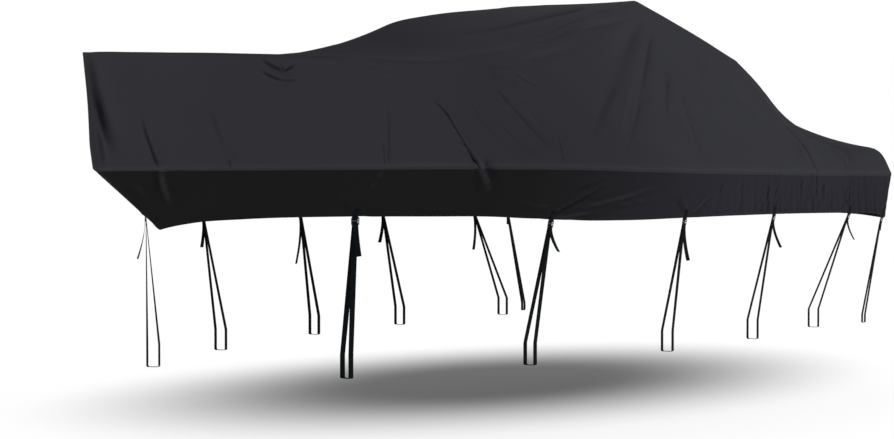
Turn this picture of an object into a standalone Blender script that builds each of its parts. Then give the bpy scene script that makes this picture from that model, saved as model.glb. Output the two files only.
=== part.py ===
"""Fitted cover for a small open boat, as it lies over the hull on its trailer.

The cover is two cloth panels sewn edge to edge: a deck panel over the bow rail, the console and the
leaning post, and a side skirt that hangs from just under the rub rail to the hem.  Six webbing straps
a side hold it down.  Each is a sewn tab round the hem, a plastic slider and a strap that goes down
round a trailer beam and back, with a free tail.  The boat and the trailer are not part of it.

Frame: +X towards the bow, +Y to port, +Z up, metres.  The origin is on the underside of the cloth, on
the centreline, over the console: that is what carries the cover.  The tables below give places as
"aft", metres behind the tip of the rub rail, "side", metres from the centreline, and "height",
metres over the ground.
"""

import math
from collections import namedtuple

import bmesh
import bpy
from mathutils import Matrix, Quaternion, Vector

# ---------------------------------------------------------------- frame and cloth
CONSOLE_AFT = 3.43
CONSOLE_TOP = 1.918
CLOTH = 0.002
ORIGIN_HEIGHT = CONSOLE_TOP - CLOTH / 2
GAP = 0.0003

SEAM_DROP = 0.012           # the seam lies this far below the crease along the rub rail
SHOULDER_ROUND = 0.07       # share of the flank and of the roof that rounds the shoulder
GUNWALE_ROUND = 0.09        # share of the flank that rounds the gunwale, either way

# ---------------------------------------------------------------- the four lines of the loft
# One row for each station, from the stem along the port side and round the stern to the middle of
# the transom.  A corner breaks the line; elsewhere it runs smoothly through its stations.
Line = namedtuple("Line", "aft side height corner")

HEM = [
    Line(0.385, 0.000, 0.919, True),
    Line(0.396, 0.018, 0.925, False),
    Line(0.470, 0.092, 0.944, False),
    Line(0.600, 0.222, 0.956, False),
    Line(0.885, 0.462, 0.964, False),
    Line(1.240, 0.680, 0.960, False),
    Line(1.520, 0.784, 0.955, False),
    Line(1.760, 0.855, 0.942, False),
    Line(2.000, 0.910, 0.931, False),
    Line(2.300, 0.970, 0.925, False),
    Line(2.900, 1.045, 0.927, False),
    Line(3.430, 1.072, 0.926, False),
    Line(3.900, 1.085, 0.923, False),
    Line(4.300, 1.092, 0.918, False),
    Line(4.650, 1.100, 0.911, False),
    Line(4.930, 1.102, 0.900, False),
    Line(5.085, 1.080, 0.878, False),
    Line(5.140, 0.930, 0.892, False),
    Line(5.150, 0.450, 0.900, False),
    Line(5.150, 0.000, 0.900, False),
]

RUB_RAIL = [
    Line(0.025, 0.000, 1.149, False),
    Line(0.045, 0.038, 1.150, False),
    Line(0.162, 0.134, 1.151, False),
    Line(0.400, 0.318, 1.154, False),
    Line(0.780, 0.590, 1.157, False),
    Line(1.200, 0.790, 1.160, False),
    Line(1.500, 0.870, 1.159, False),
    Line(1.750, 0.930, 1.157, False),
    Line(2.000, 0.980, 1.154, False),
    Line(2.300, 1.030, 1.147, False),
    Line(2.900, 1.090, 1.135, False),
    Line(3.430, 1.105, 1.127, False),
    Line(3.900, 1.112, 1.121, False),
    Line(4.300, 1.116, 1.116, False),
    Line(4.650, 1.120, 1.112, False),
    Line(4.950, 1.124, 1.109, False),
    Line(5.110, 1.108, 1.106, False),
    Line(5.175, 0.945, 1.106, False),
    Line(5.185, 0.450, 1.107, False),
    Line(5.185, 0.000, 1.108, False),
]

SHOULDER = [
    Line(-0.070, 0.000, 1.567, True),
    Line(-0.043, 0.022, 1.570, False),
    Line(0.100, 0.130, 1.572, False),
    Line(0.380, 0.300, 1.573, False),
    Line(0.770, 0.560, 1.572, False),
    Line(1.190, 0.745, 1.567, False),
    Line(1.500, 0.705, 1.603, False),
    Line(1.750, 0.670, 1.627, False),
    Line(2.000, 0.635, 1.645, False),
    Line(2.300, 0.600, 1.672, False),
    Line(2.900, 0.530, 1.812, False),
    Line(3.450, 0.485, 1.926, True),
    Line(3.880, 0.540, 1.812, False),
    Line(4.290, 0.600, 1.683, True),
    Line(4.600, 0.600, 1.558, False),
    Line(4.870, 0.600, 1.384, True),
    Line(5.010, 0.580, 1.372, False),
    Line(5.050, 0.440, 1.364, False),
    Line(5.065, 0.200, 1.361, False),
    Line(5.065, 0.000, 1.360, False),
]

CROWN = [
    Line(-0.070, 0.000, 1.567, True),
    Line(0.020, 0.000, 1.570, False),
    Line(0.200, 0.000, 1.575, False),
    Line(0.480, 0.000, 1.583, False),
    Line(0.850, 0.000, 1.594, False),
    Line(1.270, 0.000, 1.604, True),
    Line(1.520, 0.000, 1.647, False),
    Line(1.760, 0.000, 1.690, False),
    Line(2.020, 0.000, 1.766, False),
    Line(2.300, 0.000, 1.812, False),
    Line(2.900, 0.000, 1.872, False),
    Line(3.430, 0.000, 1.918, True),
    Line(3.880, 0.000, 1.788, False),
    Line(4.290, 0.000, 1.672, True),
    Line(4.560, 0.000, 1.562, False),
    Line(4.740, 0.000, 1.486, False),
    Line(4.830, 0.000, 1.449, False),
    Line(4.880, 0.000, 1.430, False),
    Line(4.910, 0.000, 1.419, False),
    Line(4.930, 0.000, 1.412, False),
]

# How far the section stands outside the straight lines between its points: "edge" where the flank
# turns over the gunwale, "sag" halfway from there to the shoulder, "roof" halfway on to the crown.
Hollow = namedtuple("Hollow", "edge sag roof")

HOLLOWS = [
    Hollow(0.004, -0.004, 0.000),
    Hollow(0.004, -0.004, 0.000),
    Hollow(0.004, -0.006, 0.002),
    Hollow(0.004, -0.008, 0.002),
    Hollow(0.004, -0.008, 0.002),
    Hollow(0.004, -0.006, -0.004),
    Hollow(0.004, -0.006, -0.022),
    Hollow(0.004, -0.006, -0.030),
    Hollow(0.004, -0.008, -0.034),
    Hollow(0.005, -0.008, -0.030),
    Hollow(0.006, -0.010, -0.012),
    Hollow(0.008, -0.010, -0.004),
    Hollow(0.010, -0.012, -0.012),
    Hollow(0.014, -0.034, -0.006),
    Hollow(0.036, -0.074, -0.012),
    Hollow(0.092, -0.032, -0.010),
    Hollow(0.086, -0.020, -0.006),
    Hollow(0.040, -0.006, -0.004),
    Hollow(0.016, 0.000, -0.002),
    Hollow(0.014, 0.000, 0.000),
]
GUNWALE_LEVEL = 0.18        # how far up the flank it turns over the gunwale

# columns of faces between each station and the next
COLUMNS = [1, 2, 4, 6, 8, 5, 5, 4, 4, 8, 6, 7, 6, 6, 5, 3, 3, 4, 3]

SKIRT_ROWS = 3
FLANK_ROWS = [0.09, 0.20, 0.36, 0.54, 0.74, 0.92]
ROOF_ROWS = [1.00, 1.09, 1.40, 1.70, 2.00]

LINE_STATIONS = len(HEM)

# ---------------------------------------------------------------- folds
# A fold is a trough with a low lip on either side, deepest near its start.  On a side, a place is
# (aft, height); on the transom it is (side, height) and on the roof (aft, side).  "bow" is how far the
# trough strays sideways from the straight line between its ends; a negative depth makes a ridge.
Fold = namedtuple("Fold", "face start end bow width depth")

FOLDS = [
    # the creases of the bow
    Fold("port", (-0.06, 1.56), (0.05, 1.20), 0.010, 0.022, 0.012),
    Fold("port", (0.18, 1.15), (0.12, 1.35), 0.004, 0.024, 0.010),
    Fold("port", (0.19, 1.14), (0.34, 1.01), -0.004, 0.024, -0.008),
    Fold("port", (0.41, 1.17), (0.34, 1.36), 0.006, 0.022, 0.006),
    Fold("port", (0.57, 1.50), (0.48, 1.55), 0.004, 0.022, 0.007),
    Fold("port", (0.57, 1.50), (0.65, 1.55), -0.004, 0.022, 0.007),
    Fold("port", (0.93, 1.17), (0.96, 1.42), 0.006, 0.024, 0.006),
    # the deep crease over the rub rail where the bow rail ends, and its neighbours
    Fold("port", (1.34, 1.15), (1.15, 1.43), 0.020, 0.032, 0.019),
    Fold("port", (1.33, 1.17), (1.50, 1.05), -0.006, 0.030, 0.014),
    Fold("port", (1.60, 1.54), (2.00, 1.48), 0.010, 0.034, 0.009),
    Fold("port", (1.86, 1.21), (1.60, 1.51), 0.014, 0.036, 0.010),
    Fold("port", (1.70, 1.20), (1.52, 1.36), -0.008, 0.030, 0.006),
    # the fan of soft folds from the corner of the console
    Fold("port", (3.34, 1.87), (2.05, 1.62), -0.020, 0.040, 0.010),
    Fold("port", (3.34, 1.82), (2.10, 1.25), 0.004, 0.048, 0.015),
    Fold("port", (3.36, 1.77), (2.30, 1.20), -0.018, 0.038, 0.011),
    Fold("port", (3.26, 1.60), (2.86, 1.34), 0.006, 0.036, 0.008),
    Fold("port", (3.24, 1.50), (2.90, 1.16), 0.006, 0.040, 0.005),
    Fold("port", (3.60, 1.70), (3.62, 1.34), 0.012, 0.050, 0.004),
    Fold("port", (4.30, 1.60), (4.14, 1.30), -0.010, 0.044, 0.010),
    Fold("port", (4.25, 1.35), (4.10, 1.11), 0.006, 0.034, 0.010),
    Fold("port", (4.10, 1.13), (4.06, 1.33), 0.004, 0.032, 0.009),
    Fold("port", (4.58, 1.16), (4.76, 1.30), 0.006, 0.036, 0.008),
    # tension folds from the straps
    Fold("port", (0.95, 0.97), (1.20, 1.07), -0.006, 0.026, 0.006),
    Fold("port", (1.88, 0.95), (2.15, 1.08), 0.006, 0.028, 0.010),
    Fold("port", (1.91, 0.94), (2.50, 1.05), 0.010, 0.028, 0.008),
    Fold("port", (1.81, 0.95), (1.56, 1.02), -0.008, 0.028, 0.007),
    Fold("port", (2.78, 0.94), (2.60, 1.02), 0.006, 0.026, 0.007),
    Fold("port", (2.84, 0.94), (3.00, 1.06), 0.006, 0.026, 0.008),
    # the gathers that the elastic draws into the hem
    Fold("port", (3.05, 0.93), (3.04, 1.09), 0.004, 0.026, 0.008),
    Fold("port", (3.29, 0.93), (3.32, 1.08), 0.000, 0.030, 0.009),
    Fold("port", (3.54, 0.93), (3.52, 1.09), 0.004, 0.028, 0.010),
    Fold("port", (3.79, 0.92), (3.84, 1.08), -0.004, 0.026, 0.009),
    Fold("port", (3.99, 0.92), (3.97, 1.10), 0.002, 0.028, 0.011),
    Fold("port", (4.16, 0.92), (4.19, 1.08), 0.000, 0.024, 0.009),
    Fold("port", (4.34, 0.92), (4.31, 1.10), -0.004, 0.026, 0.010),
    Fold("port", (4.47, 0.91), (4.49, 1.06), 0.002, 0.024, 0.008),
    Fold("port", (4.70, 0.91), (4.67, 1.08), 0.004, 0.028, 0.009),
    Fold("port", (4.88, 0.90), (4.86, 1.07), 0.000, 0.028, 0.008),
    # the other side, less evenly hung
    Fold("starboard", (0.26, 1.12), (0.14, 1.40), 0.010, 0.026, 0.010),
    Fold("starboard", (0.62, 1.16), (0.50, 1.42), -0.008, 0.026, 0.008),
    Fold("starboard", (1.30, 1.16), (1.14, 1.40), 0.014, 0.032, 0.015),
    Fold("starboard", (1.29, 1.18), (1.42, 1.03), 0.006, 0.030, 0.010),
    Fold("starboard", (2.04, 1.20), (1.72, 1.50), 0.014, 0.036, 0.010),
    Fold("starboard", (3.32, 1.83), (2.30, 1.50), 0.020, 0.044, 0.011),
    Fold("starboard", (3.36, 1.79), (2.62, 1.32), -0.014, 0.046, 0.012),
    Fold("starboard", (3.42, 1.74), (3.10, 1.34), 0.012, 0.048, 0.011),
    Fold("starboard", (4.31, 1.58), (4.22, 1.28), 0.010, 0.044, 0.011),
    Fold("starboard", (4.40, 1.17), (4.52, 1.33), -0.006, 0.036, 0.009),
    Fold("starboard", (1.84, 0.95), (2.12, 1.06), 0.006, 0.028, 0.009),
    Fold("starboard", (2.80, 0.94), (2.56, 1.04), 0.006, 0.028, 0.008),
    Fold("starboard", (2.88, 0.94), (3.06, 1.06), 0.004, 0.028, 0.007),
    Fold("starboard", (3.20, 0.93), (3.22, 1.08), 0.004, 0.028, 0.009),
    Fold("starboard", (3.46, 0.93), (3.43, 1.10), 0.000, 0.028, 0.009),
    Fold("starboard", (3.84, 0.92), (3.88, 1.08), 0.004, 0.028, 0.011),
    Fold("starboard", (4.08, 0.92), (4.06, 1.09), 0.000, 0.026, 0.009),
    Fold("starboard", (4.30, 0.92), (4.33, 1.08), -0.004, 0.026, 0.010),
    Fold("starboard", (4.76, 0.91), (4.74, 1.08), 0.004, 0.028, 0.010),
    # gathers across the transom
    Fold("transom", (0.78, 0.90), (0.76, 1.09), 0.004, 0.030, 0.010),
    Fold("transom", (0.50, 0.90), (0.53, 1.07), 0.000, 0.032, 0.009),
    Fold("transom", (0.18, 0.90), (0.15, 1.10), 0.004, 0.034, 0.011),
    Fold("transom", (-0.16, 0.90), (-0.14, 1.06), 0.000, 0.032, 0.009),
    Fold("transom", (-0.46, 0.90), (-0.50, 1.09), -0.004, 0.032, 0.010),
    Fold("transom", (-0.80, 0.90), (-0.78, 1.08), 0.004, 0.030, 0.009),
    # long soft troughs in the roof
    Fold("roof", (1.26, 0.16), (0.30, 0.05), 0.020, 0.055, 0.010),
    Fold("roof", (1.30, -0.22), (0.45, -0.12), -0.020, 0.055, 0.009),
    Fold("roof", (3.30, 0.30), (2.10, 0.22), 0.030, 0.060, 0.012),
    Fold("roof", (3.34, -0.20), (2.25, -0.34), 0.020, 0.060, 0.012),
    Fold("roof", (3.52, 0.22), (4.16, 0.12), 0.020, 0.060, 0.010),
    Fold("roof", (3.50, -0.30), (4.20, -0.36), -0.020, 0.060, 0.011),
    Fold("roof", (4.34, 0.34), (4.80, 0.20), 0.010, 0.050, 0.009),
    Fold("roof", (4.36, -0.26), (4.84, -0.36), 0.010, 0.050, 0.010),
]
FOLD_RISE = 0.12            # share of a fold's length over which it reaches its full depth
FOLD_FADE = 0.6             # power by which it then dies away

# The starboard corner of the console stands lower than the port one.
CORNER_DIP = 0.030
CORNER_AFT = 3.43
CORNER_SIDE = -0.50
CORNER_REACH = 0.34


def place(aft, side, height):
    """A point of the tables in the part's own frame."""
    return Vector((CONSOLE_AFT - aft, side, height - ORIGIN_HEIGHT))


def station(line, k):
    """Station k of a line; past either end, on the centreline, the line is its own mirror image."""
    if 0 <= k < len(line):
        row = line[k]
        return place(row.aft, row.side, row.height)
    mirrored = line[-k if k < 0 else 2 * (len(line) - 1) - k]
    return place(mirrored.aft, -mirrored.side, mirrored.height)


def heading(line, k):
    """Direction of a line at station k, per metre, weighted by the lengths of its two spans."""
    before = station(line, k) - station(line, k - 1)
    after = station(line, k + 1) - station(line, k)
    back, ahead = max(before.length, 1e-6), max(after.length, 1e-6)
    return (before / back * ahead + after / ahead * back) / (back + ahead)


def line_point(line, s):
    """The point at station s of a line, s running from 0 at the stem to the transom."""
    k = min(int(s), len(line) - 2)
    f = s - k
    start, end = station(line, k), station(line, k + 1)
    span = end - start
    leaving = span if line[k].corner else heading(line, k) * span.length
    arriving = span if line[k + 1].corner else heading(line, k + 1) * span.length
    return (start * (1 - f) ** 2 * (1 + 2 * f) + leaving * f * (1 - f) ** 2
            + end * f ** 2 * (3 - 2 * f) - arriving * f ** 2 * (1 - f))


def hollow_at(s):
    """The three hollows at station s."""
    k = min(int(s), len(HOLLOWS) - 2)
    return Hollow(*(a + (b - a) * (s - k) for a, b in zip(HOLLOWS[k], HOLLOWS[k + 1])))


def flank_offset(hollow, t):
    """How far the bare flank stands out at level t: up to the gunwale, then on to the shoulder."""
    if t <= GUNWALE_LEVEL:
        return hollow.edge * t / GUNWALE_LEVEL
    rise = (t - GUNWALE_LEVEL) / (1 - GUNWALE_LEVEL)
    return hollow.edge * (1 - rise) + hollow.sag * 4 * rise * (1 - rise)


def outward(s, across):
    """Unit vector out of the flank at station s, square to the rub rail and to the section."""
    last = LINE_STATIONS - 1
    if s in (0, last):
        along = Vector((0, 1 if s == 0 else -1, 0))
    else:
        along = line_point(RUB_RAIL, min(s + 0.02, last)) - line_point(RUB_RAIL, max(s - 0.02, 0))
    return along.cross(across).normalized()


def profile(s, t):
    """The section with sharp bends: t is -1 at the hem, 0 rub rail, 1 shoulder and 2 crown."""
    rub = line_point(RUB_RAIL, s)
    if t <= 0:
        return rub.lerp(line_point(HEM, s), -t)
    shoulder = line_point(SHOULDER, s)
    hollow = hollow_at(s)
    if t <= 1:
        return rub.lerp(shoulder, t) + outward(s, shoulder - rub) * flank_offset(hollow, t)
    roof = shoulder.lerp(line_point(CROWN, s), t - 1)
    roof.z += hollow.roof * 4 * (t - 1) * (2 - t)
    return roof


def section(s, t):
    """The section with the gunwale and the shoulder rounded by quadratic curves."""
    for middle, reach in ((GUNWALE_LEVEL, GUNWALE_ROUND), (1.0, SHOULDER_ROUND)):
        if abs(t - middle) < reach:
            f = (t - middle + reach) / (2 * reach)
            return (profile(s, middle - reach) * (1 - f) ** 2 + profile(s, middle) * 2 * f * (1 - f)
                    + profile(s, middle + reach) * f ** 2)
    return profile(s, t)


# ---------------------------------------------------------------- the cloth surface
def column_stations():
    stations = [k + i / n for k, n in enumerate(COLUMNS) for i in range(n)]
    return stations + [float(LINE_STATIONS - 1)]


def row_levels(s):
    """Levels t of the rows of points at station s, from the hem to the crown."""
    drop = (line_point(HEM, s) - line_point(RUB_RAIL, s)).length
    seam = -SEAM_DROP / drop
    skirt = [-1 + (1 + seam) * j / SKIRT_ROWS for j in range(SKIRT_ROWS + 1)]
    return skirt + [0.0] + FLANK_ROWS + ROOF_ROWS


def smooth_step(x):
    x = min(max(x, 0.0), 1.0)
    return x * x * (3 - 2 * x)


def trough(fold, u, v):
    """Height of one fold at (u, v) on its face: a trough, negative, with low lips."""
    du, dv = fold.end[0] - fold.start[0], fold.end[1] - fold.start[1]
    length = math.hypot(du, dv)
    f = ((u - fold.start[0]) * du + (v - fold.start[1]) * dv) / length ** 2
    if not 0 < f < 1:
        return 0.0
    off = ((u - fold.start[0]) * dv - (v - fold.start[1]) * du) / length
    q = ((off - fold.bow * 4 * f * (1 - f)) / fold.width) ** 2
    strength = smooth_step(f / FOLD_RISE) * (1 - f) ** FOLD_FADE
    return -fold.depth * strength * (1 - 1.2 * q) * math.exp(-q)


def fold_height(point, level):
    """How far the folds lift a point of the bare surface that lies at level t."""
    aft, side, height = CONSOLE_AFT - point.x, point.y, point.z + ORIGIN_HEIGHT
    flank = 1 - smooth_step((level - 0.90) / 0.25)
    roof = smooth_step((level - 0.95) / 0.20)
    astern = smooth_step((aft - 5.08) / 0.06)
    places = {
        "port": ((aft, height), flank * (1 - astern) * smooth_step(side / 0.03)),
        "starboard": ((aft, height), flank * (1 - astern) * smooth_step(-side / 0.03)),
        "transom": ((side, height), flank * astern),
        "roof": ((aft, side), roof),
    }
    lift = 0.0
    for fold in FOLDS:
        (u, v), share = places[fold.face]
        if share > 0:
            lift += share * trough(fold, u, v)
    return lift


def corner_dip(point):
    """How far the low corner of the console lets a point down."""
    away = math.hypot(CONSOLE_AFT - point.x - CORNER_AFT, point.y - CORNER_SIDE)
    return CORNER_DIP * smooth_step(1 - away / CORNER_REACH)


def cover_surface():
    """Both halves of the cover as one open surface, with its seam points tagged in a layer."""
    surface = bmesh.new()
    seam_tag = surface.verts.layers.int.new("seam")
    level_tag = surface.verts.layers.float.new("level")
    for mirror in (1, -1):
        grid = []
        for s in column_stations():
            column = []
            for j, t in enumerate(row_levels(s)):
                bare = section(s, t)
                point = surface.verts.new((bare.x, bare.y * mirror, bare.z))
                point[level_tag] = t
                point[seam_tag] = j == SKIRT_ROWS
                column.append(point)
            grid.append(column)
        for near, far in zip(grid, grid[1:]):
            for j in range(len(near) - 1):
                corners = [near[j], far[j], far[j + 1], near[j + 1]]
                face = surface.faces.new(corners[::mirror])
                face.material_index = 0 if j < SKIRT_ROWS else 1
                face.smooth = True
    bmesh.ops.remove_doubles(surface, verts=surface.verts, dist=1e-5)
    surface.normal_update()
    lifted = [(p, p.co + p.normal * fold_height(p.co, p[level_tag])) for p in surface.verts]
    for point, place_now in lifted:
        place_now.z -= corner_dip(place_now)
        point.co = place_now
    surface.normal_update()
    return surface


# ---------------------------------------------------------------- where the straps meet the hem
# Each strap's place on the hem, how far inboard of the hem its trailer beam lies, which way that
# beam turns from fore-and-aft, its section, and the free tail with its reach outboard and its twist.
Strap = namedtuple("Strap", "name side aft inboard turn beam_width beam_height tail reach twist")

STRAPS = [
    Strap("port_1", 1, 0.95, 0.040, 18, 0.050, 0.090, 0.118, 0.032, 26),
    Strap("port_2", 1, 1.85, 0.098, 9, 0.050, 0.090, 0.086, 0.066, -18),
    Strap("port_3", 1, 2.81, 0.084, 0, 0.050, 0.090, 0.148, 0.044, 12),
    Strap("port_4", 1, 3.67, 0.108, 0, 0.050, 0.090, 0.110, 0.064, 8),
    Strap("port_5", 1, 4.57, 0.190, 0, 0.050, 0.090, 0.080, 0.070, -10),
    Strap("port_6", 1, 5.01, 0.100, 0, 0.014, 0.040, 0.040, 0.004, 0),
    Strap("starboard_1", -1, 0.99, 0.040, 18, 0.050, 0.090, 0.150, 0.040, -20),
    Strap("starboard_2", -1, 1.82, 0.098, 9, 0.050, 0.090, 0.110, 0.026, 14),
    Strap("starboard_3", -1, 2.84, 0.084, 0, 0.050, 0.090, 0.210, 0.060, -8),
    Strap("starboard_4", -1, 3.64, 0.108, 0, 0.050, 0.090, 0.130, 0.046, 16),
    Strap("starboard_5", -1, 4.60, 0.190, 0, 0.050, 0.090, 0.180, 0.070, 6),
    Strap("starboard_6", -1, 5.00, 0.100, 0, 0.014, 0.040, 0.040, 0.004, 0),
]
BEAM_FOOT = 0.340           # height of the underside of every beam
WEB_WIDTH = 0.025
WEB = 0.0012                # thickness of the webbing
TAB_RISE = 0.036            # how far the sewn tab reaches up the skirt
SEWN_END = 0.022            # how far the strap's sewn end reaches up inside it

# The slider is a flat frame of three bars; these are places down from the hem.
SLIDER_WIDTH = 0.034
SLIDER = 0.0024             # its thickness
SLOT_WIDTH = 0.027
SLIDER_TOP = 0.0040
TOP_BAR_END = 0.0095
MIDDLE_BAR_START = 0.0150
MIDDLE_BAR_END = 0.0195
BOTTOM_BAR_START = 0.0270
SLIDER_END = 0.0330
CORNER_CUT = 0.003          # of the slider's outline
CLEAR_OF_SLIDER = 0.004     # the runs leave the slider's plane this far below it
TAIL_GAP = 0.001            # between the slider's end and the start of the tail
TAIL_STEPS = 4
BEAM_BEND = 0.006           # radius at which the strap turns under a beam

TAB_OFF = SLIDER / 2 + GAP + WEB / 2            # legs of the tab, off the middle of the cloth
RUN_OFF = SLIDER / 2 + GAP + WEB / 2            # the strap where it passes the bottom bar
SEWN_OFF = TAB_OFF + WEB + GAP                  # the sewn end, against the tab's inner leg

Seat = namedtuple("Seat", "hem along out up down")


def hem_faces(surface):
    """The faces of the bottom row, each with its two hem points and its two upper points."""
    for face in surface.faces:
        for edge in face.edges:
            if edge.is_boundary:
                low = list(edge.verts)
                high = [p for p in face.verts if p not in low]
                yield face, low, high


def seat_of(strap, surface):
    """Flatten the hem face that carries a strap and return the axes there."""
    def miss(row):
        middle = (row[1][0].co + row[1][1].co) / 2
        wrong_side = 10.0 * (middle.y * strap.side < 0)
        return abs(CONSOLE_AFT - middle.x - strap.aft) + wrong_side

    face, low, high = min(hem_faces(surface), key=miss)
    hem = (low[0].co + low[1].co) / 2
    along = (low[1].co - low[0].co).normalized()
    if along.x > 0:
        along.negate()
    up = (high[0].co + high[1].co) / 2 - hem
    up = (up - along * up.dot(along)).normalized()
    out = along.cross(up) * strap.side
    for point in high:
        point.co -= out * (point.co - hem).dot(out)
    down = beam_top(strap, hem) - hem
    down = (down - along * down.dot(along)).normalized()
    return Seat(hem, along, out, up, down)


def beam_axes(strap):
    """Directions along a strap's trailer beam, aft, and out of it."""
    turn = math.radians(strap.turn)
    return (Vector((-math.cos(turn), math.sin(turn) * strap.side, 0)),
            Vector((math.sin(turn), math.cos(turn) * strap.side, 0)))


def beam_top(strap, hem):
    """Middle of the top of the beam, straight inboard of the strap's place on the hem."""
    return Vector((hem.x, hem.y - strap.side * strap.inboard,
                   BEAM_FOOT + strap.beam_height - ORIGIN_HEIGHT))


# ---------------------------------------------------------------- making the pieces
def material(name, colour, roughness):
    made = bpy.data.materials.new(name)
    made.use_nodes = True
    shader = made.node_tree.nodes["Principled BSDF"]
    shader.inputs["Base Color"].default_value = (*colour, 1)
    shader.inputs["Roughness"].default_value = roughness
    shader.inputs["Metallic"].default_value = 0.0
    return made


def add_object(name, mesh, collection, surface_material):
    made = bpy.data.objects.new(name, mesh)
    made.data.materials.clear()
    made.data.materials.append(surface_material)
    collection.objects.link(made)
    return made


def solidify(made, thickness):
    """Give an open surface its thickness, half on either side."""
    shell = made.modifiers.new("thickness", "SOLIDIFY")
    shell.thickness = thickness
    shell.offset = 0
    shell.use_quality_normals = True


def add_panel(name, surface, part_index, collection, surface_material):
    """One panel of the cover, its seam edge drawn back by half the gap."""
    panel = surface.copy()
    unwanted = [f for f in panel.faces if f.material_index != part_index]
    bmesh.ops.delete(panel, geom=unwanted, context="FACES")
    seam_tag = panel.verts.layers.int["seam"]
    drawn = []
    for point in panel.verts:
        if point[seam_tag]:
            inner = [e.other_vert(point) for e in point.link_edges if not e.is_boundary]
            drawn.append((point, point.co + (inner[0].co - point.co).normalized() * GAP / 2))
    for point, place_now in drawn:
        point.co = place_now
    for face in panel.faces:
        face.material_index = 0
    mesh = bpy.data.meshes.new(name)
    panel.to_mesh(mesh)
    panel.free()
    solidify(add_object(name, mesh, collection, surface_material), CLOTH)


def add_webbing(name, path, collection, surface_material):
    """A strip of webbing; its path is a list of (point, direction across the strip)."""
    strip = bmesh.new()
    rows = [[strip.verts.new(point + across * reach) for reach in (-WEB_WIDTH / 2, WEB_WIDTH / 2)]
            for point, across in path]
    for near, far in zip(rows, rows[1:]):
        strip.faces.new((near[0], far[0], far[1], near[1]))
    mesh = bpy.data.meshes.new(name)
    strip.to_mesh(mesh)
    strip.free()
    made = add_object(name, mesh, collection, surface_material)
    solidify(made, WEB)
    made.modifiers["thickness"].use_even_offset = True


def hanging(seat, off, down):
    """A point of the slider's frame: off the middle of the cloth, and down from the hem."""
    level_out = seat.down.cross(seat.along).normalized()
    if level_out.dot(seat.out) < 0:
        level_out.negate()
    return seat.hem + level_out * off + seat.down * down


def sewn(seat, off, rise):
    """A point beside the skirt: off the middle of the cloth, and up from the hem."""
    return seat.hem + seat.out * off + seat.up * rise


def mitre(seat, off):
    """Where a layer of webbing turns from the skirt's slope to the slider's."""
    level_out = (hanging(seat, 1, 0) - seat.hem)
    middle = (level_out + seat.out).normalized()
    return seat.hem + middle * off / middle.dot(seat.out)


def add_tab(strap, seat, collection, surface_material):
    """Webbing folded round the slider's top bar, one leg sewn on either face of the skirt."""
    turn = TOP_BAR_END + GAP + WEB / 2
    corner = WEB / 2 + GAP
    points = [
        sewn(seat, TAB_OFF, TAB_RISE),
        mitre(seat, TAB_OFF),
        hanging(seat, TAB_OFF, turn - corner),
        hanging(seat, TAB_OFF - corner, turn),
        hanging(seat, corner - TAB_OFF, turn),
        hanging(seat, -TAB_OFF, turn - corner),
        mitre(seat, -TAB_OFF),
        sewn(seat, -TAB_OFF, TAB_RISE),
    ]
    add_webbing("tab_" + strap.name, [(p, seat.along) for p in points], collection, surface_material)


def add_slider(strap, seat, collection, surface_material):
    """A flat frame with two slots: a filled outline with two holes, half its thickness each way."""
    outline = bpy.data.curves.new("slider_" + strap.name, "CURVE")
    outline.dimensions = "2D"
    outline.fill_mode = "BOTH"
    outline.extrude = SLIDER / 2
    half, slot, cut = SLIDER_WIDTH / 2, SLOT_WIDTH / 2, CORNER_CUT
    top, end = SLIDER_TOP, SLIDER_END
    rings = [
        [(-half + cut, top), (half - cut, top), (half, top + cut), (half, end - cut),
         (half - cut, end), (-half + cut, end), (-half, end - cut), (-half, top + cut)],
        [(-slot, TOP_BAR_END), (slot, TOP_BAR_END), (slot, MIDDLE_BAR_START),
         (-slot, MIDDLE_BAR_START)],
        [(-slot, MIDDLE_BAR_END), (slot, MIDDLE_BAR_END), (slot, BOTTOM_BAR_START),
         (-slot, BOTTOM_BAR_START)],
    ]
    for ring in rings:
        spline = outline.splines.new("POLY")
        spline.points.add(len(ring) - 1)
        for point, (across, down) in zip(spline.points, ring):
            point.co = (across, down, 0, 1)
        spline.use_cyclic_u = True
    made = add_object("slider_" + strap.name, outline, collection, surface_material)
    normal = seat.along.cross(seat.down).normalized()
    made.matrix_world = Matrix((seat.along, seat.down, normal)).transposed().to_4x4()
    made.matrix_world.translation = seat.hem


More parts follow.
